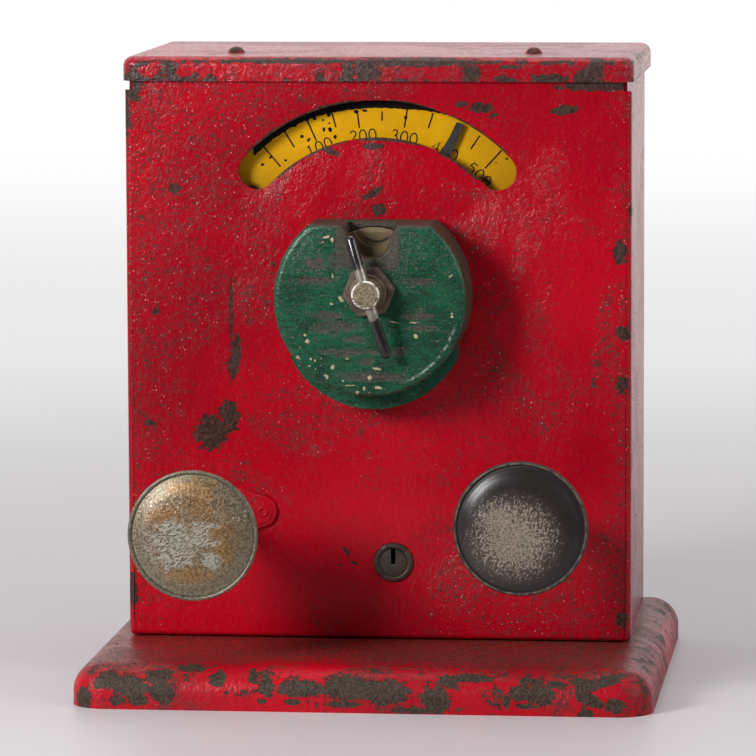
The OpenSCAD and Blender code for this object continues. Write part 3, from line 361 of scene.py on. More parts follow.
# %% [markdown]
# ### Chips
# Paint leaves the metal in ragged islands. Two noises, one coarse and one fine, are added and cut at
# a threshold. The Amount moves the threshold, so the same group gives one lone chip on the panel or
# half the paint on the base. The rim is the narrow band just outside the cut, where paint lifts.
# %% Group: chips
tree, n, given, give = new_group("chipped_paint", {"Scale": 60.0, "Amount": 0.3, "Ragged": 0.35},
                                 ["Bare", "Rim"])
coarse = n.noise(given["Vector"], given["Scale"], 3.0, 0.5, 0.4)
fine = n.noise(given["Vector"], n.times(given["Scale"], 6.0), 4.0, 0.65)
level = n.plus(coarse, n.swing(fine, given["Ragged"]))
cut = n.minus(0.82, n.times(given["Amount"], 0.6))
over = n.minus(level, cut)
give("Bare", n.step(over, -0.004, 0.006))
give("Rim", n.times(n.step(over, -0.03, -0.004), n.step(over, 0.006, -0.004)))
CHIPS = tree

# %% [markdown]
# ### Specks
# Pale dots: dust and tiny scars, and also painted glints that stand in for the lamps' sparkle on the
# red paint and on the nickel knob. Each Voronoi cell has a colour of its own, and its red part says
# whether the cell gets a dot and how large it is, so that no two dots look alike.
# %% Group: specks
tree, n, given, give = new_group("specks_and_glints", {"Scale": 700.0, "Amount": 0.3, "Size": 0.3}, ["Dots"])
near = n.add("ShaderNodeTexVoronoi", {"Vector": given["Vector"], "Scale": given["Scale"],
                                      "Randomness": 1.0})
chance = n.add("ShaderNodeSeparateColor", {"Color": near.node.outputs["Color"]})
grown = n.step(chance, n.minus(1.0, given["Amount"]), 1.15)
give("Dots", n.step(n.minus(n.times(grown, given["Size"]), near), 0.0, 0.06))
SPECKS_GLINTS = tree

# %% [markdown]
# ### Grime
# Handling and damp leave soft, darker clouds with a fine grain in them. The group gives the cloud and
# the grain apart, because paint uses them for colour and metal also for roughness.
# %% Group: grime
tree, n, given, give = new_group("old_grime", {"Scale": 14.0, "Grain": 900.0}, ["Cloud", "Grain"])
give("Cloud", n.step(n.noise(given["Vector"], given["Scale"], 5.0, 0.6, 0.6), 0.35, 0.68))
give("Grain", n.step(n.noise(given["Vector"], given["Grain"], 3.0, 0.7), 0.3, 0.7))
GRIME = tree

# %% [markdown]
# ### Scratches
# A scratch is noise that is stretched until it is a line. Two directions are laid over each other and
# only their peaks are kept.
# %% Group: scratches
tree, n, given, give = new_group("fine_scratches", {"Scale": 90.0, "Amount": 0.3}, ["Lines"])
one = n.noise(n.shift(given["Vector"], scale=(1, 1, 14), turn=(0, 0.5, 0)), given["Scale"], 3.0, 0.6)
two = n.noise(n.shift(given["Vector"], scale=(12, 12, 1), turn=(0, 0.25, 0)), given["Scale"], 3.0, 0.6)
edge = n.minus(0.78, n.times(given["Amount"], 0.35))
give("Lines", n.most(n.step(one, edge, n.plus(edge, 0.04)), n.step(two, edge, n.plus(edge, 0.04))))
SCRATCHES = tree
print("node groups", [g.name for g in bpy.data.node_groups])

# %% [markdown]
# ## Finishes
# A finish starts from one small function that makes the material, its Principled shader and the
# Object coordinates. What changes over the surface is wired in, and what is the same everywhere is
# set on the shader itself.
# %% Start of a finish
def finish(name, **same):
    """A new material: it, its node helper, its coordinates and a function that wires the shader."""
    mat = bpy.data.materials.new(name)
    mat.use_nodes = True
    n = Nodes(mat.node_tree)
    shader = mat.node_tree.nodes["Principled BSDF"]
    for key, value in same.items():
        shader.inputs[key.replace("_", " ")].default_value = value
    where = n.add("ShaderNodeTexCoord", out=3)

    def wire(key, value):
        mat.node_tree.links.new(value, shader.inputs[key])

    return mat, n, where, wire


def use(n, group, where, **values):
    """Places a node group in a material with its own values; returns all its outputs."""
    node = n.tree.nodes.new("ShaderNodeGroup")
    node.node_tree = group
    n.tree.links.new(where, node.inputs["Vector"])
    for key, value in values.items():
        feed(n.tree, node.inputs[key], value)
    return node.outputs


def bump(n, height, strength, distance):
    """A Bump node's normal for a height."""
    return n.add("ShaderNodeBump", {"Height": height, "Strength": strength, "Distance": distance})


# %% [markdown]
# ### Ragged spots
# Some chips are landmarks: the long crack left of the head, the bare corner, the islands on the lid's
# lip. Each is an ellipse whose edge a noise tears. The group turns the place round Y, divides it by
# the half width and half height, and gives 1 minus the length: 1 in the middle, 0 at the rim.
# %% Group: ragged spot
tree, n, given, give = new_group("ragged_spot", {"Turn": 0.0}, ["Depth"])
socket(tree, "Centre", "Vector", (0, 0, 0))
socket(tree, "Reach", "Vector", (0.01, 10, 0.01))
away = n.add("ShaderNodeVectorMath", {0: given["Vector"], 1: given["Centre"]}, operation="SUBTRACT")
turned = n.add("ShaderNodeVectorRotate", {"Vector": away, "Angle": given["Turn"]},
               rotation_type="Y_AXIS")
part = n.add("ShaderNodeVectorMath", {0: turned, 1: given["Reach"]}, operation="DIVIDE")
give("Depth", n.minus(1.0, n.add("ShaderNodeVectorMath", {0: part}, out=1, operation="LENGTH")))
SPOT = tree


def spots(n, where, rows):
    """The deepest of several spots. A row: x, z, half width, half height in mm, turn in degrees."""
    deepest = None
    for x, z, wide, tall, turn in rows:
        depth = use(n, SPOT, where, Centre=(x * MM, 0, z * MM), Reach=(wide * MM, 10, tall * MM),
                    Turn=math.radians(turn))["Depth"]
        deepest = depth if deepest is None else n.most(deepest, depth)
    return deepest


def torn(n, where, rows, scale=420.0, tear=2.4, soft=0.06, lift=0.0):
    """A mask of ragged spots: their depth, moved by a fine noise and cut at zero."""
    edge = n.noise(where, scale, 5.0, 0.7)
    level = n.plus(spots(n, where, rows), n.swing(edge, tear))
    return n.step(level, -lift, soft - lift)


# %% [markdown]
# ### Red paint
# Everything large is red. Smooth places are a pure deep red. Around them the gloss is broken into a
# fine brown grain, and whole islands are down to dark metal. The sparks of light on that grain are
# painted highlights: pale dots, thickest at the panel's upper left, on the side of the key light. One
# function makes all of it: a mask of wear raises the chips, a second mask says where the paint has gone
# dull, and rows of spots place the landmarks. The case and the lid are scored by many small dents
# (scored), the base is matter (matte) and loses more round each spot (lift).
# %% Red paint
RED, DARK_RED = (0.43, 0.0005, 0.010), (0.28, 0.0005, 0.008)
BROWN_RED, BROWN_GREY = (0.20, 0.009, 0.013), (0.070, 0.020, 0.016)
BARE, BARE_LIGHT, PAINTED_GLINT = (0.026, 0.011, 0.008), (0.068, 0.031, 0.023), (0.74, 0.30, 0.28)
DULL, DULL_LIGHT = (0.062, 0.014, 0.010), (0.135, 0.048, 0.036)


def in_front(n, where, limit):
    """1 in front of a depth in mm and 0 behind it, so that spots mark the front only."""
    return n.step(split(n, where)[1], (limit + 1.0) * MM, limit * MM)


def red_paint(name, bare=0.2, rub=1.0, chip_scale=45.0, dots=0.5, wear=None, dull=None, rows=(),
              relief=0.75, metal=(BARE, BARE_LIGHT), sparks=None, before=-20.0, streak=(1, 1, 0.6),
              gloss=0.22, matte=0.0, lift=0.0, scored=0.0):
    """Worn red enamel: bare sets the share of chips, rub the grain; wear, dull, sparks make masks."""
    mat, n, where, wire = finish(name, Specular_IOR_Level=gloss)
    extra = wear(n, where) if wear else 0.0
    chips = use(n, CHIPS, where, Scale=chip_scale, Ragged=0.6, Amount=n.plus(n.times(extra, 0.5), bare))
    gone = chips["Bare"]
    if rows:
        gone = n.most(gone, n.times(torn(n, where, rows, lift=lift), in_front(n, where, before)))
    zone = n.step(n.noise(where, 17.0, 5.0, 0.62, 0.8), 0.42, 0.60)
    if sparks:
        zone = n.plus(zone, sparks(n, where), clamp=True)
    leaning = n.shift(n.shift(where, turn=(0, -0.52, 0)), scale=(1, 1, 0.6))
    grain = n.noise(leaning, 1100.0, 2.5, 0.65)
    patch = n.swing(n.noise(where, 210.0, 4.0, 0.7), 0.4)
    need = n.plus(patch, n.times(zone, 0.135 * rub))
    rubbed = n.step(n.plus(grain, need), 0.62, 0.71)
    deep = n.step(n.plus(n.noise(where, 700.0, 3.0, 0.7), need), 0.70, 0.76)
    # Painted highlights: pale dots that stand in for the lamps' sparkle on the paint's grain.
    bright = use(n, SPECKS_GLINTS, leaning, Scale=900.0, Size=0.30, Amount=n.times(zone, dots))["Dots"]
    colour = n.mix(n.step(n.noise(where, 9.0, 3.0, 0.5), 0.35, 0.7), RED, DARK_RED)
    colour = n.layer(colour, rubbed, 0.85, BROWN_RED)
    colour = n.layer(colour, deep, 0.9, BROWN_GREY)
    if dull:
        flat = n.times(dull(n, where), n.step(n.plus(grain, patch), 0.40, 0.56, 0.25, 1.0))
        colour = n.mix(flat, colour, n.mix(n.step(n.noise(where, 520.0, 4.0, 0.7), 0.42, 0.66), DULL,
                                           DULL_LIGHT))
    colour = n.layer(colour, chips["Rim"], 0.45, DULL)
    colour = n.layer(colour, bright, 0.7, PAINTED_GLINT)
    wire("Base Color", n.mix(gone, colour, n.mix(n.step(grain, 0.38, 0.64), *metal)))
    streaks = n.step(n.noise(n.shift(where, scale=streak), 620.0, 4.0, 0.7), 0.53, 0.66)
    rough = n.plus(n.times(n.most(rubbed, streaks), 0.14), 0.20 + matte)
    wire("Roughness", n.plus(rough, n.times(gone, 0.18)))
    height = n.plus(n.times(grain, n.step(zone, 0.0, 1.0, 0.25, 0.48)),
                    n.times(n.noise(where, 360.0, 4.0, 0.65), n.step(zone, 0.0, 1.0, 0.65, 0.85)))
    height = n.plus(height, n.times(n.noise(where, 40.0, 4.0, 0.6), 2.5))
    height = n.plus(height, n.times(n.minus(bright, gone), 0.5))
    height = n.plus(height, n.times(streaks, scored))
    wire("Normal", bump(n, height, relief, 0.0006))
    return mat


def band(n, value, centre, reach):
    """A soft mask: 1 at the centre value, 0 beyond the reach on both sides."""
    away = n.math("ABSOLUTE", n.minus(value, centre))
    return n.step(away, reach, reach * 0.2)


def split(n, where):
    """The x, y and z of the coordinates."""
    node = n.tree.nodes.new("ShaderNodeSeparateXYZ")
    n.tree.links.new(where, node.inputs[0])
    return node.outputs


def distance_from(n, where, x0, z0):
    """Distance from an axis along Y: the root of the sum of both squares."""
    x, y, z = split(n, where)
    dx, dz = n.minus(x, x0 * MM), n.minus(z, z0 * MM)
    return n.math("SQRT", n.plus(n.times(dx, dx), n.times(dz, dz)))


RED_ISLANDS = ((-103.5, 277.0, 4.5, 2.6, 0), (-86.4, 277.3, 4.6, 2.8, 20), (-78.4, 278.0, 2.6, 3.2, 0),
               (-69, 278.6, 5, 2.4, -20), (-64, 275.8, 6, 1.8, 0))


LIP_TOP, LIP_FOOT = 282.2, 272.5


def lid_wear(n, where):
    """The lip: its edges all along, and its whole left third but for a few islands of paint."""
    x, y, z = split(n, where)
    lip = n.step(z, 0.2830, 0.2815)
    edges = n.most(n.times(band(n, z, LIP_TOP * MM, 0.0034), 0.80),
                   n.times(band(n, z, LIP_FOOT * MM, 0.0024), 0.60))
    kept = n.times(n.step(spots(n, where, RED_ISLANDS), -0.25, 0.25), in_front(n, where, -20.0))
    left = n.times(n.step(x, -0.058, -0.070), n.minus(1.0, kept))
    return n.times(n.most(edges, n.times(left, 0.95)), lip)


def base_wear(n, where):
    """More wear on the base's round front and sides than on its top."""
    x, y, z = split(n, where)
    front = n.times(n.step(y, -0.088, -0.1), n.step(z, 0.0, 0.004, 0.15, 0.34))
    side = n.times(n.step(n.math("ABSOLUTE", x), 0.114, 0.124), 0.40)
    return n.most(front, side)


def base_dull(n, where):
    """The ledge under the case, rubbed to brown: its front limit wanders with two noises."""
    x, y, z = split(n, where)
    limit = n.plus(n.times(n.noise(where, 24.0, 5.0, 0.65, 1.0), 0.115),
                   n.times(n.noise(n.shift(where, scale=(0.35, 1, 1)), 260.0, 4.0, 0.7), 0.095))
    level = n.plus(n.plus(y, limit), n.step(x, -0.02, -0.10, 0.0, 0.022))
    return n.times(n.step(level, 0.006, 0.026), n.step(z, 0.012, 0.018))


PANEL_HALF, UNDER_WINDOW, OVER_WINDOW = 114.5, 66.0, 83.2


def panel_wear(n, where):
    """More wear along the panel's upright bends and a thin line round the window."""
    x, y, z = split(n, where)
    bends = n.times(n.step(n.math("ABSOLUTE", x), (PANEL_HALF - 2.7) * MM, PANEL_HALF * MM), 0.62)
    out = distance_from(n, where, 0.0, SHAFT_Z)
    under = n.times(band(n, out, UNDER_WINDOW * MM, 0.0016), n.step(z, 0.2265, 0.2300))
    over = n.times(band(n, out, OVER_WINDOW * MM, 0.0012), n.step(z, 0.2380, 0.2420))
    window = n.times(n.most(under, over), 1.2)
    return n.most(bends, window)


def upper_left(n, where):
    """Where the panel's grain and painted glints are thickest: its upper left quarter and its left
    edge.
    """
    x, y, z = split(n, where)
    corner = n.times(n.times(n.step(x, -0.02, -0.085), n.step(z, 0.165, 0.245)), 0.9)
    return n.plus(corner, n.times(n.step(n.math("ABSOLUTE", x), 0.098, 0.112), 0.45))


def foot_dull(n, where):
    """The case's side walls turn a darker brown towards their foot."""
    x, y, z = split(n, where)
    rub = n.noise(n.shift(where, scale=(1, 1, 0.25)), 160.0, 5.0, 0.7)
    return n.step(n.minus(rub, n.times(z, 1.1)), 0.3, 0.5, 0.0, 0.6)


PANEL_SPOTS = ((-66.5, 168, 1.0, 17, 0), (-65.0, 147, 2.6, 11, -6), (-75.3, 113, 8.5, 8.0, 20),
               (-67.5, 121, 4.8, 7, 10), (0.9, 214.7, 3.2, 3.0, 0), (46.6, 260.8, 6.0, 2.4, 0),
               (84.7, 260, 6.5, 2.2, 4), (38, 262.5, 3, 1.4, 0), (52.5, 257.5, 2.4, 1.0, 20),
               (98, 270.6, 18, 2.4, 0), (-111.5, 269, 5, 5.5, 0), (-114.5, 257, 2.8, 9, 0),
               (-24, 242.6, 8, 1.7, -26), (-1.5, 243.4, 5, 1.5, 0), (109.6, 196.5, 3.2, 5.5, 0),
               (111, 160, 3.0, 3.5, 0), (110.4, 136.5, 3.0, 4, 0), (-14.6, 59.5, 1.1, 2.2, 35),
               (-11, 54.2, 1.8, 0.8, -20), (-17.5, 53, 0.8, 0.7, 0), (-112.7, 39, 2, 9, 0),
               (-92, 224, 3.2, 2, 10), (-101, 168, 1.6, 2.0, 0), (-47, 190, 0.9, 1.2, 0),
               (110.5, 30, 2.6, 4.5, 0), (-104, 117, 2.6, 1.5, 0), (-2, 222, 4.5, 1.8, 30))
LID_SPOTS = ((-12.6, 276.5, 3.2, 6, 0), (-4.5, 277.5, 6.0, 6, 0), (-24.4, 274.2, 2.4, 2.2, 40),
             (43, 276, 4.5, 3.8, 25), (58, 273.6, 6, 1.6, 0), (78.3, 273.8, 9.5, 2.4, 0),
             (93, 274.8, 4.6, 3.6, 20), (98.5, 278, 3.6, 7, 0), (22, 281.2, 24, 2.1, 0),
             (-40, 281.6, 30, 1.2, 0), (60, 279.2, 6, 1.0, 0))
BASE_SPOTS = ((-102.3, 10.5, 8, 3.6, -10), (-112, 12.5, 5, 2.6, 20), (-86.9, 8.1, 4.4, 3.9, 0),
              (-88.7, 15, 5, 1.7, 0), (-74, 17.6, 5.4, 0.9, 0), (-62.3, 13.9, 3.0, 2.6, 20),
              (-46.9, 15, 1.8, 2.2, 0), (-40.6, 10.6, 2.7, 3.5, 20), (-25.2, 10.4, 9.4, 2.9, 0),
              (-4, 10.6, 10.5, 4.2, 0), (12, 9.4, 9, 3.9, 0), (-7.2, 3.9, 6.2, 1.3, 0),
              (-28.9, 4.6, 3, 1.0, 0), (-42.5, 4.7, 1.6, 1.0, 0), (-97.8, 5, 3.6, 2.8, 0),
              (-107.9, 4.1, 2, 1.5, 0), (-122, 4, 3, 4.5, 0), (34, 6.4, 5.6, 4.4, -25),
              (65.5, 6.5, 1.5, 2.2, 0), (71.7, 9.8, 4.6, 2.6, 0), (80.7, 9, 4.8, 3.6, 0),
              (74, 4.4, 3.6, 1.0, 0), (86.9, 13.6, 4, 1.3, 0), (102.1, 7.5, 5.2, 2.2, -22),
              (112.8, 5, 3.4, 2.6, 0), (100.3, 1.2, 2.8, 1.5, 0), (26.8, 1.7, 10, 1.0, 0),
              (50, 15.6, 8, 1.2, 0), (107, 14.6, 9, 1.8, 14))
red_panel = red_paint("red_paint_panel", bare=0.05, chip_scale=52.0, dots=0.62, wear=panel_wear,
                      rows=PANEL_SPOTS, sparks=upper_left)
red_case = red_paint("red_paint_case", bare=0.1, chip_scale=34.0, dull=foot_dull, streak=(1, 1, 0.8),
                     gloss=0.45, scored=-0.9)
red_lid = red_paint("red_paint_lid", bare=0.13, rub=1.2, chip_scale=110.0, wear=lid_wear,
                    rows=LID_SPOTS, before=-24.0, streak=(0.8, 1, 1), gloss=0.45, scored=-0.9)
red_base = red_paint("red_paint_base", bare=0.17, rub=1.5, chip_scale=95.0, dots=0.3, wear=base_wear,
                     dull=base_dull, rows=BASE_SPOTS, before=-90.0, lift=0.3, streak=(1, 0.8, 1),
                     matte=0.14, metal=((0.024, 0.014, 0.009), (0.064, 0.041, 0.028)))
red_small = red_paint("red_paint_fittings", bare=0.1, rub=0.9, chip_scale=90.0)
rivet_brown = red_paint("brown_rivets", bare=0.5, chip_scale=140.0)

# %% [markdown]
# ### Green paint
# The coin head is green over a brown primer. Raised parts have lost the green: the field above the
# shaft, the top edge, and a few flat bands across the disc. Cream filler shows in small chips, most of
# them low on the left. Bands and chips are rows of ragged spots round the shaft.
# %% Green paint
GREEN, DEEP_GREEN, HEAD_BROWN = (0.006, 0.088, 0.042), (0.004, 0.046, 0.024), (0.042, 0.023, 0.018)
CREAM, OLD_CREAM = (0.47, 0.39, 0.26), (0.20, 0.20, 0.125)
BANDS = ((-24.4, 4.8, 12, 2.6, 0), (21.6, 4.5, 11, 2.6, 0), (-19.5, -10.6, 10, 2.6, 0),
         (21.4, -10.8, 10.5, 2.9, 0), (-16, -16, 15, 4.2, 0), (-6.2, -21.4, 7, 2.2, 0),
         (-9.5, -27.2, 17, 2.6, 0), (13, -27, 5, 2.4, 0), (-2, -31.5, 5, 2.4, 0), (-24, 12.5, 7, 5, 0),
         (24, -16, 9, 2.2, 0), (-15, 14, 4, 8, 0), (2, -38, 22, 3, 0))
CREAM_SPOTS = ((-19, 24.3, 2.4, 0.7, 12), (-16.4, 23.4, 0.9, 1.2, 0), (-20.6, 22, 0.7, 0.5, 0),
               (-28, -22.3, 1.2, 1.2, 0), (-28.8, -19.6, 0.8, 0.7, 0), (-31.9, -29.6, 1.1, 1.0, 0),
               (-16.5, -34.1, 0.9, 1.3, 0), (-19.3, -38.1, 0.9, 1.6, 30), (3.2, -34.5, 1.9, 0.6, -10),
               (0.1, -38.3, 1.2, 1.3, 0), (-2.4, -43.2, 0.6, 0.9, 0), (-5.5, -45.2, 0.8, 0.9, 0),
               (4.5, -43.0, 2.2, 0.8, -12), (-9.2, -42.0, 3.0, 0.35, 0), (37, -10.3, 0.6, 1.2, 0),
               (11.2, -13.5, 3.0, 0.35, -8), (20.4, -13.6, 2.0, 0.4, 0), (20.7, -19.6, 1.0, 1.1, 0),
               (-16.3, 6.8, 0.5, 1.2, 0), (-17, -5.5, 0.7, 0.5, 0), (36.5, 7.2, 1.3, 0.5, 40),
               (-12.6, -3.4, 1.0, 1.7, 30), (-24.5, -31, 0.6, 0.6, 0), (-10, -30, 0.8, 0.5, 0),
               (15, -25, 0.6, 0.5, 0), (-27, -33.5, 0.7, 0.5, 0))


def about_shaft(rows):
    """Moves rows of spots from the shaft's height to the frame's."""
    return tuple((x, z + SHAFT_Z, wide, tall, turn) for x, z, wide, tall, turn in rows)


def head_wear(n, where):
    """The disc's rubbed places: the field above the shaft and the bands."""
    x, y, z = split(n, where)
    up = n.minus(z, SHAFT_Z * MM)
    field = n.times(n.step(n.math("ABSOLUTE", n.plus(x, 0.0008)), 0.0150, 0.0140),
                    n.step(n.plus(up, n.times(n.noise(where, 200.0, 4.0, 0.6), 0.012)), 0.012, 0.021))
    bands = n.step(spots(n, where, about_shaft(BANDS)), -0.15, 0.7, 0.0, 0.72)
    return n.most(field, bands)


def body_wear(n, where):
    """The skirt behind the disc: brown above, green at its lower right."""
    x, y, z = split(n, where)
    return n.step(z, (SHAFT_Z - 24) * MM, (SHAFT_Z - 8) * MM, 0.0, 1.3)


def green_paint(name, rubbed_by, bare=0.12, rows=(), top=29.6):
    """Worn green enamel over brown primer, with cream filler in the chips and a painted rim highlight.
    """
    mat, n, where, wire = finish(name, Specular_IOR_Level=0.35)
    x, y, z = split(n, where)
    grime = use(n, GRIME, where, Scale=60.0, Grain=1500.0)
    drawn = n.noise(n.shift(where, scale=(0.3, 1, 1.6)), 330.0, 5.0, 0.7)
    crumb = n.noise(where, 1150.0, 2.5, 0.65)
    up = n.minus(z, SHAFT_Z * MM)
    need = n.most(rubbed_by(n, where), n.step(up, (top - 1.4) * MM, (top - 0.4) * MM))
    level = n.plus(n.times(n.plus(drawn, crumb), 0.5), n.times(need, 0.24))
    rubbed = n.step(level, 0.54, 0.70)
    chips = use(n, CHIPS, where, Scale=130.0, Amount=bare, Ragged=0.5)
    right_field = n.times(n.step(x, 0.010, 0.020), n.step(up, 0.002, 0.010))
    dots = use(n, SPECKS_GLINTS, where, Scale=760.0, Size=0.33,
               Amount=n.plus(n.times(right_field, 0.30), 0.42))["Dots"]
    low_left = n.times(n.step(up, -0.010, -0.034), n.step(x, 0.028, -0.008))
    blots = use(n, SPECKS_GLINTS, n.shift(where, offset=(0.3, 0, 0.1)), Scale=420.0, Size=0.36,
                Amount=n.times(low_left, 0.42))["Dots"]
    colour = n.mix(grime["Cloud"], GREEN, DEEP_GREEN)
    colour = n.layer(colour, n.step(crumb, 0.52, 0.64), n.step(up, 0.0, 0.006, 0.35, 0.8),
                     (0.064, 0.084, 0.054))
    colour = n.layer(colour, rubbed, 0.82, n.mix(n.step(crumb, 0.44, 0.64), HEAD_BROWN,
                                                 (0.090, 0.056, 0.045)))
    dark = n.step(n.noise(n.shift(where, scale=(0.5, 1, 1.3)), 520.0, 4.0, 0.75), 0.51, 0.60)
    colour = n.layer(colour, dark, 0.7, (0.014, 0.022, 0.013))
    colour = n.layer(colour, chips["Bare"], 0.75, (0.040, 0.026, 0.020))
    colour = n.layer(colour, dots, 0.65, OLD_CREAM)
    cream = n.times(blots, n.step(crumb, 0.36, 0.5))
    if rows:
        cream = n.most(cream, torn(n, where, about_shaft(rows), 1000.0, 3.4, 0.3))
    colour = n.layer(colour, cream, n.step(crumb, 0.3, 0.62, 0.55, 1.0), CREAM)
    out = distance_from(n, where, 0.0, SHAFT_Z - HEAD_DROP)
    # Painted highlight: a pale broken line on the disc's rounded rim, at its lower right, for a lamp's
    # shine.
    painted_shine = n.times(band(n, out, 0.0398, 0.0009), n.step(n.noise(where, 400.0, 4.0, 0.7), 0.42, 0.6))
    painted_shine = n.times(painted_shine, n.times(n.step(up, -0.014, -0.020), n.step(x, 0.012, 0.022)))
    wire("Base Color", n.layer(colour, painted_shine, 0.6 if rows else 0.0, (0.42, 0.50, 0.42)))
    wire("Roughness", n.step(n.plus(rubbed, n.times(crumb, 0.3)), 0.0, 1.2, 0.24, 0.52))
    height = n.plus(n.times(n.noise(where, 420.0, 4.0, 0.68), 0.9),
                    n.minus(n.times(cream, 0.6), n.times(n.most(rubbed, chips["Bare"]), 0.5)))
    wire("Normal", bump(n, height, 0.85, 0.0005))
    return mat


HEAD_R = (high("head_front") - low("head_front"))[0] / 2
HEAD_TOP = high("head_front")[2] - SHAFT_Z
HEAD_DROP = SHAFT_Z - low("head_front")[2] - HEAD_R
green_disc = green_paint("green_paint_disc", head_wear, rows=CREAM_SPOTS, top=HEAD_TOP)
green_body = green_paint("green_paint_body", body_wear, bare=0.2, top=HEAD_TOP)
print("coin head: radius", round(HEAD_R, 2), "drop", round(HEAD_DROP, 2), "top", round(HEAD_TOP, 2))

# %% [markdown]
# ### Knob metals
# The left knob was nickel over brass. Hands have worn it to a brown gold, with a silver patch full of
# fine dark pits. The right knob is black lacquer, rubbed to a pale grain in the middle. Spots round
# each knob's axis say where, and noise tears their edges.
# %% Knob metals
def round_knob(rows, at):
    """Rows of spots given from a knob's axis, moved to the frame."""
    return tuple((x + at[0], z + at[2], wide, tall, turn) for x, z, wide, tall, turn in rows)


SILVER = ((-7.5, -4.5, 11.5, 12.0, 10), (-9, 3.5, 8, 4.0, -6), (6, 5.2, 9, 1.6, -6),
          (8.5, -3.2, 5, 1.6, 8), (9, -10.5, 6, 4, -25), (4, 0, 6, 5, 0))
ORANGE = ((4, 17, 8, 12, -10), (13, -5, 6, 8, 0), (-2, -17, 12, 4, 0), (10, 3, 11, 4, 0),
          (-11, 9, 10, 5, 20), (-2, 21, 10, 4, 0))
# Spots of painted sparkle highlights round the left knob's axis: upper left and right.
PAINTED_SPARKLE = ((-11, 17, 12, 6.5, -38), (-19, 11, 4.5, 7, 10), (20, 7, 4, 8, -25))
MAUVE = ((-19, -4, 6, 14, 0), (10, 17, 6, 5, 40), (-8, 11, 10, 4, 0))
CRACKS = ((-0.5, 14.8, 0.3, 4.2, -6), (-11, 0.3, 7, 0.22, 2))


def nickel_knob():
    """Worn nickel and brass: a silver patch, orange stains, painted glints at the upper left, and
    cracks.
    """
    mat, n, where, wire = finish("worn_nickel_knob", Metallic=0.5)
    grain = n.noise(where, 1100.0, 2.5, 0.65)
    fine = n.step(grain, 0.40, 0.60)
    tear = n.swing(n.noise(where, 300.0, 5.0, 0.7), 2.2)

    def stain(rows, start, stop):
        return n.step(n.plus(spots(n, where, round_knob(rows, LEFT)), tear), start, stop)

    silver, orange, mauve = stain(SILVER, 0.0, 0.35), stain(ORANGE, -0.3, 0.7), stain(MAUVE, -0.3, 0.8)
    painted_spark = n.step(spots(n, where, round_knob(PAINTED_SPARKLE, LEFT)), -0.2, 0.6)
    scored = n.noise(n.shift(n.shift(where, turn=(0, 0.5, 0)), scale=(0.45, 1, 1)), 1250.0, 2.5, 0.6)
    pits = n.step(scored, 0.54, 0.42)
    out = distance_from(n, where, LEFT[0], LEFT[2])
    cool = n.step(n.plus(out, n.times(tear, 0.0012)), 0.018, 0.0245)
    colour = n.mix(fine, (0.125, 0.088, 0.048), (0.27, 0.20, 0.125))
    colour = n.layer(colour, mauve, 0.6, n.mix(fine, (0.10, 0.075, 0.062), (0.30, 0.24, 0.21)))
    colour = n.layer(colour, cool, 0.7, n.mix(fine, (0.125, 0.105, 0.068), (0.23, 0.20, 0.145)))
    colour = n.layer(colour, orange, 0.75, n.mix(fine, (0.185, 0.090, 0.026), (0.34, 0.185, 0.068)))
    colour = n.layer(colour, n.step(n.noise(where, 480.0, 4.0, 0.75), 0.56, 0.66), 0.5,
                     (0.075, 0.050, 0.036))
    colour = n.layer(colour, silver, 0.85, n.mix(pits, (0.38, 0.36, 0.30), (0.12, 0.098, 0.068)))
    # Pale gold dots as painted glints: thin all over, thick in the sparkle spots.
    dots = use(n, SPECKS_GLINTS, where, Scale=820.0, Size=0.42, Amount=n.plus(n.times(painted_spark, 0.6), 0.1))
    colour = n.layer(colour, dots["Dots"], 0.75, (0.72, 0.58, 0.42))
    colour = n.mix(n.step(spots(n, where, round_knob(CRACKS, LEFT)), 0.0, 0.4, 0.0, 0.8), colour,
                   (0.04, 0.028, 0.02))
    rim = n.step(out, 0.0266, 0.0270)
    colour = n.layer(colour, rim, 0.8, n.mix(fine, (0.085, 0.075, 0.048), (0.20, 0.18, 0.13)))
    wire("Base Color", colour)
    wire("Roughness", n.step(n.plus(grain, n.times(silver, 0.15)), 0.3, 0.8, 0.32, 0.56))
    height = n.plus(n.noise(where, 620.0, 3.0, 0.65), n.times(n.times(pits, silver), -0.8))
    wire("Normal", bump(n, height, 0.6, 0.0004))
    return mat


RUBBED = ((-2.4, -4.2, 20.5, 19.5, 0), (-8, 3, 13, 12, 0))


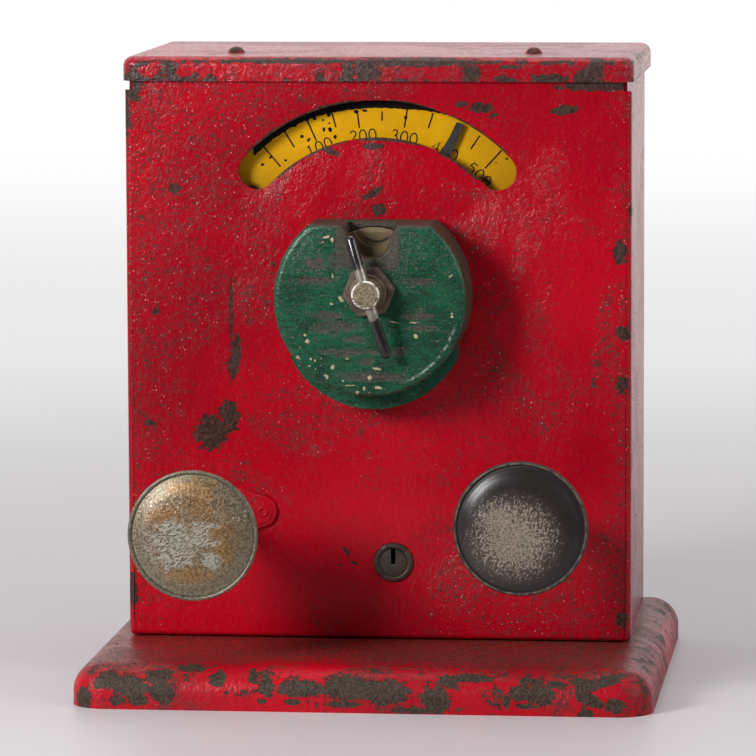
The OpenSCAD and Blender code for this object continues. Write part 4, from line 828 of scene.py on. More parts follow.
def black_knob():
    """Black lacquer with a broad rubbed middle: the strokes lean to the right."""
    mat, n, where, wire = finish("black_knob", Specular_IOR_Level=0.35)
    fine = n.noise(where, 1300.0, 2.0, 0.6)
    strokes = n.noise(n.shift(n.shift(where, turn=(0, -0.42, 0)), scale=(1, 1, 0.4)), 950.0, 2.5, 0.6)
    depth = spots(n, where, round_knob(RUBBED, RIGHT))
    level = n.plus(n.times(n.plus(strokes, fine), 0.5), n.times(depth, 0.30))
    pale = n.times(n.step(level, 0.53, 0.68), n.step(depth, -0.25, 0.1))
    out = distance_from(n, where, RIGHT[0], RIGHT[2])
    colour = n.mix(n.noise(where, 50.0, 4.0, 0.6), (0.014, 0.010, 0.010), (0.026, 0.020, 0.020))
    colour = n.layer(colour, n.step(depth, -0.2, 0.3), 0.7, (0.060, 0.045, 0.036))
    ragged = n.step(n.noise(where, 300.0, 3.0, 0.6), 0.38, 0.6)
    colour = n.layer(colour, band(n, out, 0.0288, 0.0006), ragged, (0.13, 0.085, 0.05))
    worn = n.mix(n.step(fine, 0.36, 0.64), (0.105, 0.082, 0.058), (0.25, 0.205, 0.155))
    wire("Base Color", n.mix(pale, colour, worn))
    edge = n.times(n.step(out, 0.0268, 0.0275), 0.25)
    wire("Roughness", n.plus(n.step(pale, 0.0, 1.0, 0.30, 0.6), edge))
    height = n.plus(n.times(fine, n.step(depth, -0.2, 0.4, 0.3, 1.0)), n.times(pale, 0.5))
    wire("Normal", bump(n, height, 0.4, 0.0004))
    return mat


knob_left = nickel_knob()
knob_right = black_knob()

# %% [markdown]
# ### Plain metals
# The works inside are brass, steel, iron and tin. They share one recipe: a base colour, a darker
# tarnish in clouds, fine scratches and a roughness that follows both.
# %% Plain metals
def metal(name, colour, tarnish, rough=0.35, stained=0.5, fine=500.0, metallic=1.0, marks=0.3,
          relief=0.25):
    """A bare metal with clouds of tarnish, fine scratches and a little unevenness."""
    mat, n, where, wire = finish(name, Metallic=metallic)
    grime = use(n, GRIME, where, Scale=70.0, Grain=fine)
    lines = use(n, SCRATCHES, where, Scale=160.0, Amount=marks)["Lines"]
    amount = n.times(n.plus(grime["Cloud"], n.times(grime["Grain"], 0.5)), stained, clamp=True)
    base = n.mix(amount, colour, tarnish)
    wire("Base Color", n.mix(n.times(lines, 0.4), base, tuple(min(1.0, c * 1.5) for c in colour)))
    wire("Roughness", n.step(amount, 0.0, 1.0, rough, min(0.9, rough + 0.25)))
    wire("Normal", bump(n, n.minus(grime["Grain"], lines), relief, 0.0003))
    return mat


brass = metal("aged_brass", (0.56, 0.38, 0.14), (0.24, 0.14, 0.05))
nut_metal = metal("brown_nut", (0.15, 0.105, 0.075), (0.062, 0.042, 0.031), rough=0.5, stained=0.9,
                  fine=700.0, metallic=0.35, marks=0.2, relief=0.8)
steel = metal("plain_steel", (0.42, 0.42, 0.42), (0.2, 0.18, 0.16), rough=0.32)
blued = metal("blued_spring", (0.09, 0.10, 0.15), (0.05, 0.04, 0.05), rough=0.25)
tin = metal("tinplate", (0.56, 0.56, 0.54), (0.3, 0.29, 0.26), rough=0.3)
iron = metal("bare_iron", (0.16, 0.15, 0.14), (0.09, 0.05, 0.03), rough=0.5)
stem_metal = metal("worn_stem", (0.42, 0.36, 0.26), (0.17, 0.12, 0.07), rough=0.35, stained=0.75)
lock_metal = metal("dark_lock", (0.075, 0.055, 0.036), (0.020, 0.014, 0.010), rough=0.36, metallic=0.4,
                   stained=0.7, relief=0.5)
pointer_paint = metal("pointer_black", (0.024, 0.021, 0.022), (0.013, 0.011, 0.012), rough=0.45,
                      metallic=0.1)

# %% [markdown]
# ### Shaft, handle and drum
# These three are seen close together. The shaft's end is a sandy brass colour with a bright ragged
# rim, and the handle is black and glossy, but rubbed to silver where it enters the shaft: each has its
# own wear. The drum is brown brass, with painted shade below its lit top and a painted shadow arc in
# the notch.
# %% Shaft, handle and drum finishes
def shaft_finish():
    """Sandy end face with a bright ragged rim, brown behind."""
    mat, n, where, wire = finish("worn_shaft", Metallic=0.45)
    x, y, z = split(n, where)
    sand = n.noise(where, 1100.0, 4.0, 0.8)
    out = distance_from(n, where, 0.0, SHAFT_Z)
    face = n.step(y, (low("coin_shaft")[1] + 0.8) * MM, (low("coin_shaft")[1] + 0.3) * MM)
    rim = n.times(n.step(out, 0.0053, 0.0058), n.step(n.noise(where, 420.0, 3.0, 0.6), 0.34, 0.55))
    colour = n.mix(n.step(sand, 0.38, 0.64), (0.095, 0.068, 0.040), (0.33, 0.265, 0.18))
    colour = n.layer(colour, rim, 0.9, (0.82, 0.78, 0.70))
    colour = n.mix(face, n.mix(sand, (0.10, 0.068, 0.042), (0.24, 0.17, 0.11)), colour)
    wire("Base Color", colour)
    wire("Roughness", n.step(sand, 0.3, 0.7, 0.4, 0.6))
    wire("Normal", bump(n, sand, 0.8, 0.0004))
    return mat


def rod_finish():
    """Black gloss that gives way to bright metal near the shaft."""
    mat, n, where, wire = finish("black_rod", Specular_IOR_Level=0.6)
    out = distance_from(n, where, 0.0, SHAFT_Z)
    marks = n.noise(n.shift(where, scale=(1, 1, 0.5)), 700.0, 5.0, 0.75)
    near = n.step(n.plus(out, n.swing(marks, 0.016)), 0.0135, 0.0095)
    scuffs = n.times(n.step(marks, 0.70, 0.80), n.step(out, 0.022, 0.013))
    bare = n.most(near, scuffs)
    wire("Base Color", n.mix(bare, n.mix(marks, (0.009, 0.007, 0.008), (0.022, 0.017, 0.018)),
                             n.mix(marks, (0.15, 0.125, 0.10), (0.48, 0.43, 0.37))))
    wire("Metallic", n.times(bare, 0.6))
    wire("Roughness", n.step(bare, 0.0, 1.0, 0.18, 0.36))
    wire("Normal", bump(n, marks, 0.25, 0.0002))
    return mat


def drum_finish():
    """Brown brass with painted shade below its lit top and a painted black shadow arc in the notch."""
    mat, n, where, wire = finish("drum_brass", Metallic=0.4)
    x, y, z = split(n, where)
    up = n.minus(z, SHAFT_Z * MM)
    tone = n.noise(n.shift(where, scale=(1, 1, 0.5)), 260.0, 5.0, 0.7)
    # Painted shade: darker below a line near the drum's lit top.
    shade_band = n.step(n.plus(up, n.times(tone, 0.0015)), 0.0262, 0.0252)
    # Painted shadow: a black arc in the notch, the shadow line of the coin pocket's edge.
    shadow_ring = band(n, distance_from(n, where, 1.3, SHAFT_Z + 28.6), 0.0080, 0.0009)
    painted_shadow_arc = n.times(shadow_ring, n.step(up, 0.0235, 0.0222))
    colour = n.mix(tone, (0.155, 0.115, 0.060), (0.31, 0.24, 0.135))
    colour = n.layer(colour, shade_band, 0.5, (0.10, 0.066, 0.036))
    colour = n.layer(colour, painted_shadow_arc, 0.85, (0.02, 0.014, 0.01))
    wire("Base Color", colour)
    wire("Roughness", n.step(tone, 0.3, 0.7, 0.38, 0.55))
    wire("Normal", bump(n, tone, 0.4, 0.0003))
    return mat


shaft_metal, rod_metal, drum_brass = shaft_finish(), rod_finish(), drum_finish()

# %% [markdown]
# ### Dial paint
# The dial is yellow enamel. A ragged dark band runs along its upper edge and is widest in the middle:
# part black border paint that has flaked, part painted shadow of the window's upper edge. The band is
# the distance from the shaft's axis, cut at a radius that changes along x and that a noise makes
# uneven. Dark flakes are ragged spots. Both ends are painted darker, as painted shade under the
# window's ends, and carry a few near-black spots.
# %% Dial paint
FLAKES = ((-52.8, 53.3, 1, 0.7, 20), (-49.2, 56.6, 0.7, 0.7, 0), (-42.4, 55.3, 0.7, 0.6, 0),
          (-34.9, 66.1, 0.9, 0.8, 0), (-31.8, 64.6, 0.6, 1.1, -40), (-29.1, 74.2, 1, 0.7, 0),
          (-25.2, 73.6, 0.7, 0.5, 0), (-22.4, 72.2, 0.5, 0.5, 0), (-24.8, 69.3, 0.7, 1.1, 10),
          (-22, 69.4, 1.1, 1.2, 0), (-19.7, 66, 0.8, 1, 0), (-10.2, 77.4, 1.2, 0.9, 0),
          (-6.2, 77.9, 1.4, 0.6, 0), (-22.5, 76, 1.1, 1, 0), (12.2, 74.8, 0.9, 1, 0),
          (58, 56.5, 0.7, 0.4, 40), (53.1, 54.7, 0.4, 0.3, 0), (-38, 71, 1, 0.6, 30),
          (-32.4, 73.6, 1.1, 0.6, 25))
END_SPOTS = ((-56.8, 42.2, 5.0, 3.6, 0), (49.0, 46.5, 5.0, 2.2, -40))


def dial_paint():
    """Yellow enamel, flaked border and painted shadow on top, dark flakes; painted shade, spots at
    ends.
    """
    mat, n, where, wire = finish("dial_yellow", Roughness=0.42, Specular_IOR_Level=0.1)
    x, y, z = split(n, where)
    radius = distance_from(n, where, 0.0, SHAFT_Z)
    ragged = n.noise(where, 700.0, 4.0, 0.7)
    # Dark upper band: part black border paint, part painted shadow of the window's upper edge.
    left = n.step(x, -0.040, -0.008, 0.0804, 0.0790)
    border = n.plus(left, n.step(x, 0.004, 0.040, 0.0, 0.0035))
    black = n.step(n.plus(radius, n.swing(ragged, 0.0016)), border, n.plus(border, 0.00025))
    black = n.times(black, n.step(x, -0.0575, -0.0566))
    flakes = torn(n, where, about_shaft(FLAKES), 900.0, 1.3, 0.08)
    tone = n.noise(where, 60.0, 4.0, 0.6)
    colour = n.mix(n.step(tone, 0.3, 0.75), (0.64, 0.335, 0.0010), (0.56, 0.275, 0.0012))
    # Painted shade: both ends of the dial darker, as under the window's rounded ends.
    ends = n.step(n.math("ABSOLUTE", x), 0.030, 0.060)
    colour = n.layer(colour, ends, 0.75, (0.42, 0.215, 0.002))
    smudge = n.step(n.noise(where, 230.0, 4.0, 0.65), 0.54, 0.72)
    colour = n.layer(colour, smudge, 0.3, (0.34, 0.17, 0.006))
    # Near-black spots at both ends, placed by rows of spots.
    foot = n.step(spots(n, where, about_shaft(END_SPOTS)), 0.0, 0.8)
    colour = n.mix(foot, colour, (0.025, 0.014, 0.006))
    wire("Base Color", n.mix(n.most(black, flakes), colour, (0.008, 0.006, 0.005)))
    wire("Normal", bump(n, n.plus(tone, n.times(black, 1.5)), 0.25, 0.0003))
    return mat


dial_yellow = dial_paint()


# %% Dull materials
def plain(name, one, two, rough=0.6, scale=300.0, stretch=(1, 1, 1), depth=0.0003, **same):
    """A dull material of two tones of stretched noise."""
    mat, n, where, wire = finish(name, **same)
    tone = n.noise(n.shift(where, scale=stretch), scale, 5.0, 0.6)
    wire("Base Color", n.mix(n.step(tone, 0.3, 0.7), one, two))
    wire("Roughness", n.step(tone, 0.2, 0.8, rough - 0.08, rough + 0.08))
    wire("Normal", bump(n, tone, 0.4, depth))
    return mat


def wound(name, one, two, pitch):
    """Fine turns of covered wire: a wave along one axis gives the grooves between the turns."""
    mat, n, where, wire = finish(name, Roughness=0.6, Sheen_Weight=0.2)
    turns = n.add("ShaderNodeTexWave", {"Vector": n.shift(where, scale=(0, 0, 1)),
                                        "Scale": 0.314 / pitch, "Distortion": 0.4, "Detail": 1.0},
                  out=1, bands_direction="Z")
    tone = n.noise(where, 90.0, 4.0, 0.6)
    wire("Base Color", n.mix(turns, one, n.mix(tone, two, one)))
    wire("Normal", bump(n, turns, 0.6, 0.0003))
    return mat


ink = plain("dial_ink", (0.004, 0.003, 0.002), (0.010, 0.007, 0.005), rough=0.6,
            Specular_IOR_Level=0.15)
board = plain("varnished_board", (0.20, 0.085, 0.03), (0.115, 0.045, 0.018), rough=0.4, scale=90.0,
              stretch=(4, 4, 0.35), Coat_Weight=0.3)
fibre = plain("red_fibre", (0.13, 0.03, 0.018), (0.085, 0.022, 0.015), rough=0.5)
ebonite = plain("ebonite", (0.014, 0.013, 0.012), (0.026, 0.022, 0.02), rough=0.42)
card = plain("waxed_card", (0.42, 0.27, 0.09), (0.33, 0.19, 0.06), rough=0.55, scale=160.0,
             stretch=(1, 1, 0.3))
silk = wound("silk_winding", (0.012, 0.075, 0.035), (0.03, 0.13, 0.06), 0.0005)
braid = plain("braided_lead", (0.03, 0.045, 0.03), (0.1, 0.095, 0.06), rough=0.75, scale=1400.0)
print("materials", len(bpy.data.materials))

# %% [markdown]
# ## CAD pieces that keep their shape
# Inner works, the base, the case and the lid are right as they come. Their triangles are loose, so a
# Weld modifier joins them and an Edge Split keeps the edges crisp while round faces shade smoothly.
# %% Materials for the CAD pieces
LOOKS = {
    red_base: ["base"], red_case: ["case_shell"], red_lid: ["lid"], rivet_brown: ["lid_rivets"],
    steel: ["lid_clips", "case_screws", "lock_catch", "contact_screw", "second_arbor", "fan_arbor",
            "link_rod", "lock_cam", "armature"], card: ["dry_cell"],
    tin: ["battery_strap", "coin_tray", "coin_chute", "fan"], fibre: ["contact_block"],
    brass: ["cell_posts", "contact_springs", "panel_nuts", "mech_plate", "mech_pillars",
            "train_bridge", "contact_bracket", "contact_studs", "drive_wheel", "second_wheel",
            "regulator_crank", "regulator_pinion", "damper_tube", "damper_rack"],
    braid: ["battery_leads", "door_leads"], dial_yellow: ["dial_plate"], green_body: ["head_body"],
    blued: ["mainspring"], stem_metal: ["left_stem", "regulator_stem"],
    ebonite: ["stem_bushings", "coil_bobbin"], board: ["coil_board"], silk: ["coil_winding"],
    iron: ["iron_core"], drum_brass: ["coin_drum"], pointer_paint: ["pointer"],
}


def tidy_shading(obj, angle=32):
    """Joins loose triangles for shading only; the mesh itself stays as it was."""
    obj.data.polygons.foreach_set("use_smooth", np.ones(len(obj.data.polygons), bool))
    weld = obj.modifiers.new("weld", "WELD")
    weld.merge_threshold = 1e-6
    crisp = obj.modifiers.new("crisp", "EDGE_SPLIT")
    crisp.split_angle = math.radians(angle)


for look, names in LOOKS.items():
    for name in names:
        nodes[name].data.materials.clear()
        nodes[name].data.materials.append(look)
        tidy_shading(nodes[name])
print("dressed", sum(len(v) for v in LOOKS.values()), "CAD pieces")

# %% [markdown]
# ## Front panel
# The panel is one steel sheet whose sides and foot are bent back. A sharp CAD corner can't show the
# soft bend, so the sheet is lofted: each ring follows the panel's outline, moves out over a quarter
# circle and then runs back to the flange's edge. The tongue at the top isn't bent, so there the
# radius and the depth are small. Window and holes are cut in the flat part.
# %% Front panel
PANEL_LOW, PANEL_HIGH = low("front_panel"), high("front_panel")
SHEET, BEND, FLANGE = 1.5, 2.6, 9.0
SHOULDER_Z = low("lid")[2] - 4.0
NOTCH = 3.6
WINDOW_R, WINDOW_W, WINDOW_HALF = 83.0, 16.7, 46.8
HOLE_R, NECK_HOLE_R, RIVET_HOLE_R, EAR_SPAN = 8.05, 9.4, 2.05, 20.8
HOLE_EDGE = 0.35


def window_outline():
    """The arc window: two arcs about the shaft and two half circles, counter-clockwise."""
    mid = WINDOW_R - WINDOW_W / 2
    ends = [np.array([s * mid * math.sin(math.radians(WINDOW_HALF)),
                      mid * math.cos(math.radians(WINDOW_HALF))]) for s in (1, -1)]
    half = WINDOW_HALF
    parts = [arc((0, 0), WINDOW_R, 90 - half, 90 + half, 40),
             arc(ends[1], WINDOW_W / 2, 90 + half, 270 + half, 16)[1:-1],
             arc((0, 0), WINDOW_R - WINDOW_W, 90 + half, 90 - half, 40),
             arc(ends[0], WINDOW_W / 2, 270 - half, 450 - half, 16)[1:-1]]
    return np.vstack(parts) + [0, SHAFT_Z]


def panel_piece():
    """The bent sheet with its holes."""
    wide, tall = PANEL_HIGH[0], PANEL_HIGH[2]
    foot = PANEL_LOW[2]
    corners = [(-wide, foot), (wide, foot), (wide, SHOULDER_Z), (wide - NOTCH, SHOULDER_Z + 0.01),
               (wide - NOTCH, tall), (-wide + NOTCH, tall), (-wide + NOTCH, SHOULDER_Z + 0.01),
               (-wide, SHOULDER_Z)]
    outline = soften(corners, [2.2, 2.2, 0.8, 0.4, 0.8, 0.8, 0.4, 0.8], 6)
    bent = outline[:, 1] < SHOULDER_Z - 0.5
    radius, depth = np.where(bent, BEND, 0.4), np.where(bent, FLANGE, SHEET)
    wall = np.where(bent, SHEET, 0.0)
    a = np.linspace(0, math.pi / 2, 7)
    outside = [at_depth(inset(outline, radius * (1 - math.sin(k))),
                        FRONT_Y + radius * (1 - math.cos(k))) for k in a]
    inside = [at_depth(outline, FRONT_Y + depth), at_depth(inset(outline, wall), FRONT_Y + depth),
              at_depth(inset(outline, wall), FRONT_Y + SHEET)]
    bm = bmesh.new()
    rings = bm_grid(bm, np.array(outside + inside))
    exit_low, exit_high = SHAFT_Z - 48, SHAFT_Z - 34
    coin_exit = np.array([(-12, exit_low), (12, exit_low), (12, exit_high), (-12, exit_high)])
    holes = [window_outline(), circle((0, SHAFT_Z), NECK_HOLE_R)]
    holes += [circle(at[[0, 2]], HOLE_R) for at in (LEFT, RIGHT, LOCK)]
    holes += [circle((LEFT[0] + s * EAR_SPAN, LEFT[2]), RIVET_HOLE_R, 20)
              for s in (-1, 1)] + [coin_exit]
    cuts = []
    for hole in holes:
        rows = [at_depth(inset(hole, -HOLE_EDGE * (1 - math.sin(k))),
                         FRONT_Y + HOLE_EDGE * (1 - math.cos(k)))
                for k in np.linspace(0, math.pi / 2, 4)] + [at_depth(hole, FRONT_Y + SHEET)]
        cuts.append(bm_grid(bm, np.array(rows)))
    close_loop(bm, [rings[0]] + [c[0] for c in cuts])
    close_loop(bm, [rings[-1]] + [c[-1] for c in cuts])
    piece_from(bm, "panel_sheet", "panel", ["front_panel"], red_panel)


panel_piece()

# %% [markdown]
# ## Coin head
# The round disc has a flat top with a round-bottomed notch for the coin. Its outline is drawn
# counter-clockwise from arcs and then given a rounded front edge. Two thin raised fields stand on the
# disc to the left and right of the worn middle.
# %% Coin head's disc
DISC_T = high("head_front")[1] - low("head_front")[1]


def head_outline():
    """The disc's outline with its chord and notch, about the shaft."""
    corner = math.degrees(math.asin((HEAD_TOP + HEAD_DROP) / HEAD_R))
    x0 = HEAD_R * math.cos(math.radians(corner))
    notch = arc((0, HEAD_TOP - 5.8), 9.2, 0, -180, 24)
    last = arc((0, -HEAD_DROP), HEAD_R, corner - 4.5, corner, 2)[0]
    top = soften([last, (x0, HEAD_TOP), (12.5, HEAD_TOP), (9.3, HEAD_TOP - 5.0)], [0, 1.6, 2.6, 0], 9,
                 closed=False)
    left = top[::-1] * [-1, 1]
    big = arc((0, -HEAD_DROP), HEAD_R, 180 - corner + 5.2, 360 + corner - 5.2, 120)
    return distinct(np.vstack([top, notch, left, big])) + [0, SHAFT_Z]


outline = head_outline()
from_middle = np.hypot(outline[:, 0], outline[:, 1] - SHAFT_Z + HEAD_DROP)
reach = 1.3 + 1.7 * np.clip(from_middle - HEAD_R + 1.2, 0, 1)
bm = plate_mesh(outline, FACE_Y, DISC_T, edge=2.2, holes=[circle((0, SHAFT_Z), 6.4)], back_edge=0.6,
                steps=7, reach=reach)
piece_from(bm, "head_disc", "panel", ["head_front"], green_disc)


def field_outline(side):
    """One raised field: the disc's circle moved in, cut by an upright line and a level one."""
    r = HEAD_R - 4.2
    inner, foot, top = (15.6, 5.6, 26.4) if side < 0 else (13.6, 5.0, 26.4)
    a0 = math.degrees(math.asin((foot + HEAD_DROP) / r))
    a1 = math.degrees(math.asin((top + HEAD_DROP) / r))
    rim = arc((0, -HEAD_DROP), r, a0, a1, 20)
    points = np.vstack([rim, [(inner, top), (inner, foot)]])
    cut = np.r_[0.8, np.zeros(18), 1.2, 1.0, 1.6]
    points = soften(points, cut, 5)
    return (points if side > 0 else points[::-1] * [-1, 1]) + [0, SHAFT_Z]


FIELD = 0.28
for side, word in ((-1, "left"), (1, "right")):
    bm = plate_mesh(field_outline(side), FACE_Y - FIELD, FIELD + 0.1, edge=0.26, steps=4)
    piece_from(bm, "head_field_" + word, "panel", (), green_disc)

# %% [markdown]
# ## Shaft, nut and handle
# The shaft ends in a flat, grainy face with a bright rim, and the handle is a round rod that goes
# through it and curves back at both ends. The rod is a circle carried along a curve, and its radius
# shrinks over the last millimetres as the square root of a circle's formula, which rounds the tips.
# %% Shaft and nut
TIP_Y = low("coin_shaft")[1]
REAR_Y = high("coin_shaft")[1]
COLLAR = 5.0 - FACE_Y
SHAFT_R, COLLAR_R, REAR_R, STEP_AT = 6.35, 8.05, 4.35, -16.5
profile = soften([(0, -TIP_Y), (SHAFT_R, -TIP_Y), (SHAFT_R, COLLAR), (COLLAR_R, COLLAR),
                  (COLLAR_R, COLLAR - 1.2), (SHAFT_R, COLLAR - 1.2), (SHAFT_R, 16.3), (COLLAR_R, 16.3),
                  (COLLAR_R, 14.8), (SHAFT_R, 14.8), (SHAFT_R, STEP_AT), (REAR_R, STEP_AT),
                  (REAR_R, -REAR_Y), (0, -REAR_Y)],
                 [0, 0.7, 0.2, 0.4, 0.2, 0.1, 0.1, 0.2, 0.2, 0.1, 0.3, 0.1, 0.3, 0], 5, closed=False)
bm = turned_mesh(profile, (0, 0, SHAFT_Z), 96)
piece_from(bm, "shaft_turned", "handle", ["coin_shaft"], shaft_metal)

NUT_ACROSS, NUT_T, NUT_BORE, NUT_TURN = 21, 3.6, 6.42, 8
corners = circle((0, 0), NUT_ACROSS / 2 / math.cos(math.radians(30)), 6)
turn = math.radians(NUT_TURN)
corners = corners @ np.array([[math.cos(turn), math.sin(turn)], [-math.sin(turn), math.cos(turn)]])
nut_outline = soften(corners, 1.3, 5) + [0, SHAFT_Z]
bm = plate_mesh(nut_outline, FACE_Y - NUT_T, NUT_T, edge=1.1, holes=[circle((0, SHAFT_Z), NUT_BORE)],
                steps=5)
piece_from(bm, "gland_nut_worn", "panel", ["gland_nut"], nut_metal)

# %% Handle rod
ROD_R, ROD_Y, ROD_HALF, ROD_BEND, ROD_LEAN, ROD_SLIDE = 2.5, FACE_Y - 11.5, 28.5, 4.4, 17.0, 1.7


def tube_mesh(path, radius, across, sides=20):
    """A circle carried along a plane curve; across is the unit normal of the curve's plane."""
    along = np.gradient(path, axis=0)
    along /= np.linalg.norm(along, axis=1)[:, None]
    side = np.cross(along, across)
    side /= np.linalg.norm(side, axis=1)[:, None]
    a = np.linspace(0, 2 * math.pi, sides, endpoint=False)[None, :, None]
    ring = np.cos(a) * side[:, None] + np.sin(a) * np.asarray(across)
    bm = bmesh.new()
    bm_grid(bm, path[:, None] + radius[:, None, None] * ring)
    return bm


def rod_path():
    """The rod's centre line: along the rod u, bent towards the panel at both ends by a parabola."""
    u = np.sin(np.linspace(-math.pi / 2, math.pi / 2, 90)) * ROD_HALF
    lean = math.radians(ROD_LEAN)
    back = ROD_BEND * (u / ROD_HALF) ** 2
    u = u - ROD_SLIDE
    return np.stack([-math.sin(lean) * u, ROD_Y + back, SHAFT_Z + math.cos(lean) * u], 1)


path = rod_path()
run = np.r_[0, np.cumsum(np.linalg.norm(np.diff(path, axis=0), axis=1))]
near_end = np.minimum(run, run[-1] - run)
radius = ROD_R * np.sqrt(np.clip(1 - (1 - np.clip(near_end / ROD_R, 0, 1)) ** 2, 1e-6, 1))
across = np.array([math.cos(math.radians(ROD_LEAN)), 0, math.sin(math.radians(ROD_LEAN))])
bm = tube_mesh(path, radius, across)
piece_from(bm, "handle_bent", "handle", ["handle_rod"], rod_metal)

# %% [markdown]
# ## Electrode knobs
# Each knob is two spun shells: a face with a low dome, a shoulder and a groove, and a back that closes
# on the stem. The back's edge is rolled over into a bead round the face. Both are profiles turned
# about the knob's axis. The profile runs along the outside and returns along the inside, so that the
# shell is closed and has a real wall.
# %% Knobs
OUT, DEEP, WALL = 81.5, 30.0, 1.2
RIM_T, BEAD, NECK = OUT - 4.6, 0.95, 9.0


def knob_face(radius):
    """Profile of the face, from the middle out to the groove and back along the inside."""
    seam = radius - 2 * BEAD - 0.05
    outer = through([(0, OUT - 0.02), (radius * 0.3, OUT - 0.12), (radius * 0.52, OUT - 0.45),
                     (radius * 0.68, OUT - 1.0), (radius * 0.79, OUT - 1.85),
                     (radius * 0.87, OUT - 2.95), (seam, RIM_T + WALL - 0.1)])
    return np.vstack([outer, [(seam, RIM_T)], (outer[::-1] - [0, WALL])[1:]])


def knob_back(radius):
    """Profile of the back: a bell from the rim to the neck, with the rolled bead at its edge."""
    k = np.linspace(0, 1, 22)
    reach, deep = radius - 2.6 - NECK, DEEP - 4.6
    bell = np.stack([NECK + reach * np.sin(k * math.pi / 2), RIM_T - deep * np.cos(k * math.pi / 2)], 1)
    bead = arc((radius - BEAD, RIM_T + 1.0), BEAD, -95, 178, 18)
    seat = [(radius - 2 * BEAD - 0.02, RIM_T - 0.02), (radius - 4.4, RIM_T - 0.02)]
    inner = np.stack([NECK - WALL + (reach - 0.6) * np.sin(k[::-1] * math.pi / 2),
                      RIM_T - 0.6 - (deep - 1.2) * np.cos(k[::-1] * math.pi / 2)], 1)
    neck = [(5.1, RIM_T - deep + WALL), (5.1, RIM_T - deep)]
    return np.vstack([bell, bead, seat, inner[1:], neck])


KNOBS = (("left", LEFT, 29.0, knob_left, "panel", "worn_nickel"),
         ("right", RIGHT, 29.7, knob_right, "regulator", "black_nickel"))
for word, at, radius, look, body, slot_name in KNOBS:
    for part, profile in (("front", knob_face(radius)), ("back", knob_back(radius))):
        bm = turned_mesh(profile, (at[0], FRONT_Y, at[2]), 144)
        node = f"{word}_knob_{part}"
        piece_from(bm, node + "_spun", body, [node], look, angle=50)

# %% [markdown]
# ## Ear plate and lock
# Behind the left knob an ear plate with two rivets holds the bushing. Its outline is the outermost
# line round three circles: for each direction the circle that reaches farthest gives the point.
# The lock is a rolled ring round a plug, and the plug's outline takes in the keyway.
# %% Ear plate, rivets and lock
def round_hull(circles, count=160):
    """Outline round several circles: in each direction the point that reaches farthest."""
    a = np.linspace(0, 2 * math.pi, count, endpoint=False)
    way = np.stack([np.cos(a), np.sin(a)], 1)
    centres, radii = np.split(np.array(circles, float), [2], axis=1)
    best = (way @ centres.T + radii.T).argmax(1)
    return distinct(centres[best] + radii[best] * way)


def add_mesh(bm, other):
    """Adds a second bmesh to the first."""
    scrap = bpy.data.meshes.new("scrap")
    other.to_mesh(scrap)
    other.free()
    bm.from_mesh(scrap)
    bpy.data.meshes.remove(scrap)


EAR_T = 2.0
ear = round_hull([(0, 0, 13.5), (-19.8, 0, 7.4), (19.8, 0, 7.4)]) + LEFT[[0, 2]]
bore = circle(LEFT[[0, 2]], HOLE_R)
bm = plate_mesh(ear, FRONT_Y - EAR_T, EAR_T, edge=0.9, holes=[bore], steps=5)
add_mesh(bm, plate_mesh(inset(ear, 1.9), FRONT_Y - EAR_T - 0.45, 0.6, edge=0.4, holes=[bore]))
piece_from(bm, "ear_plate_cast", "panel", ["ear_plate"], red_small)

bm = bmesh.new()
for s in (-1, 1):
    head = soften([(0, 2.5), (0.9, 2.55), (1.3, 3.25), (2.2, 3.25), (2.7, EAR_T + 0.3),
                   (2.7, EAR_T - 0.3), (2.0, EAR_T - 0.3), (2.0, -1.5), (3.0, -1.5), (3.0, -2.5),
                   (0, -2.5)], 0.3, 4, closed=False)
    add_mesh(bm, turned_mesh(head, (LEFT[0] + s * EAR_SPAN, FRONT_Y, LEFT[2]), 40))
piece_from(bm, "ear_rivets_domed", "panel", ["ear_rivets"], red_small)

LOCK_BACK = high("lock_barrel")[1] - FRONT_Y
barrel = soften([(6.35, 1.1), (6.9, 1.6), (8.2, 1.6), (9.0, 0.9), (9.0, 0.0), (8.0, 0.0),
                 (8.0, -LOCK_BACK), (6.35, -LOCK_BACK)], [0.3, 0.5, 0.8, 0.5, 0.2, 0.1, 0.3, 0.1], 5)
bm = turned_mesh(barrel, (LOCK[0], FRONT_Y, LOCK[2]), 96)
piece_from(bm, "lock_ring", "panel", ["lock_barrel"], lock_metal)

PLUG_R, PLUG_OUT, SLOT = 6.3, 1.2, 1.0
gap_angle = math.degrees(math.asin(SLOT / PLUG_R))
rim = arc((0, 0), PLUG_R, 90 + gap_angle, 450 - gap_angle, 90)
plug_outline = np.vstack([rim, [(SLOT, -0.8), (-SLOT, -0.8)]]) + LOCK[[0, 2]]
PLUG_BACK = high("lock_plug")[1]
bm = plate_mesh(plug_outline, FRONT_Y - PLUG_OUT, PLUG_BACK - FRONT_Y + PLUG_OUT, edge=0.25, steps=3)
piece_from(bm, "lock_plug_cut", "lock", ["lock_plug"], lock_metal)

# %% [markdown]
# ## Dial marks
# The scale's lines and plain numbers are thin ink. Real ink has no thickness, but a mesh needs a
# little, so each mark is a ribbon: a line moved to both sides by half its width. Every figure is a few
# strokes in a box one unit high, drawn upright and then turned to its place on the arc.
# %% Dial marks
DIAL_Y = low("dial_plate")[1] + 6.0 - 0.06
LINE, INK = 0.7, 0.05


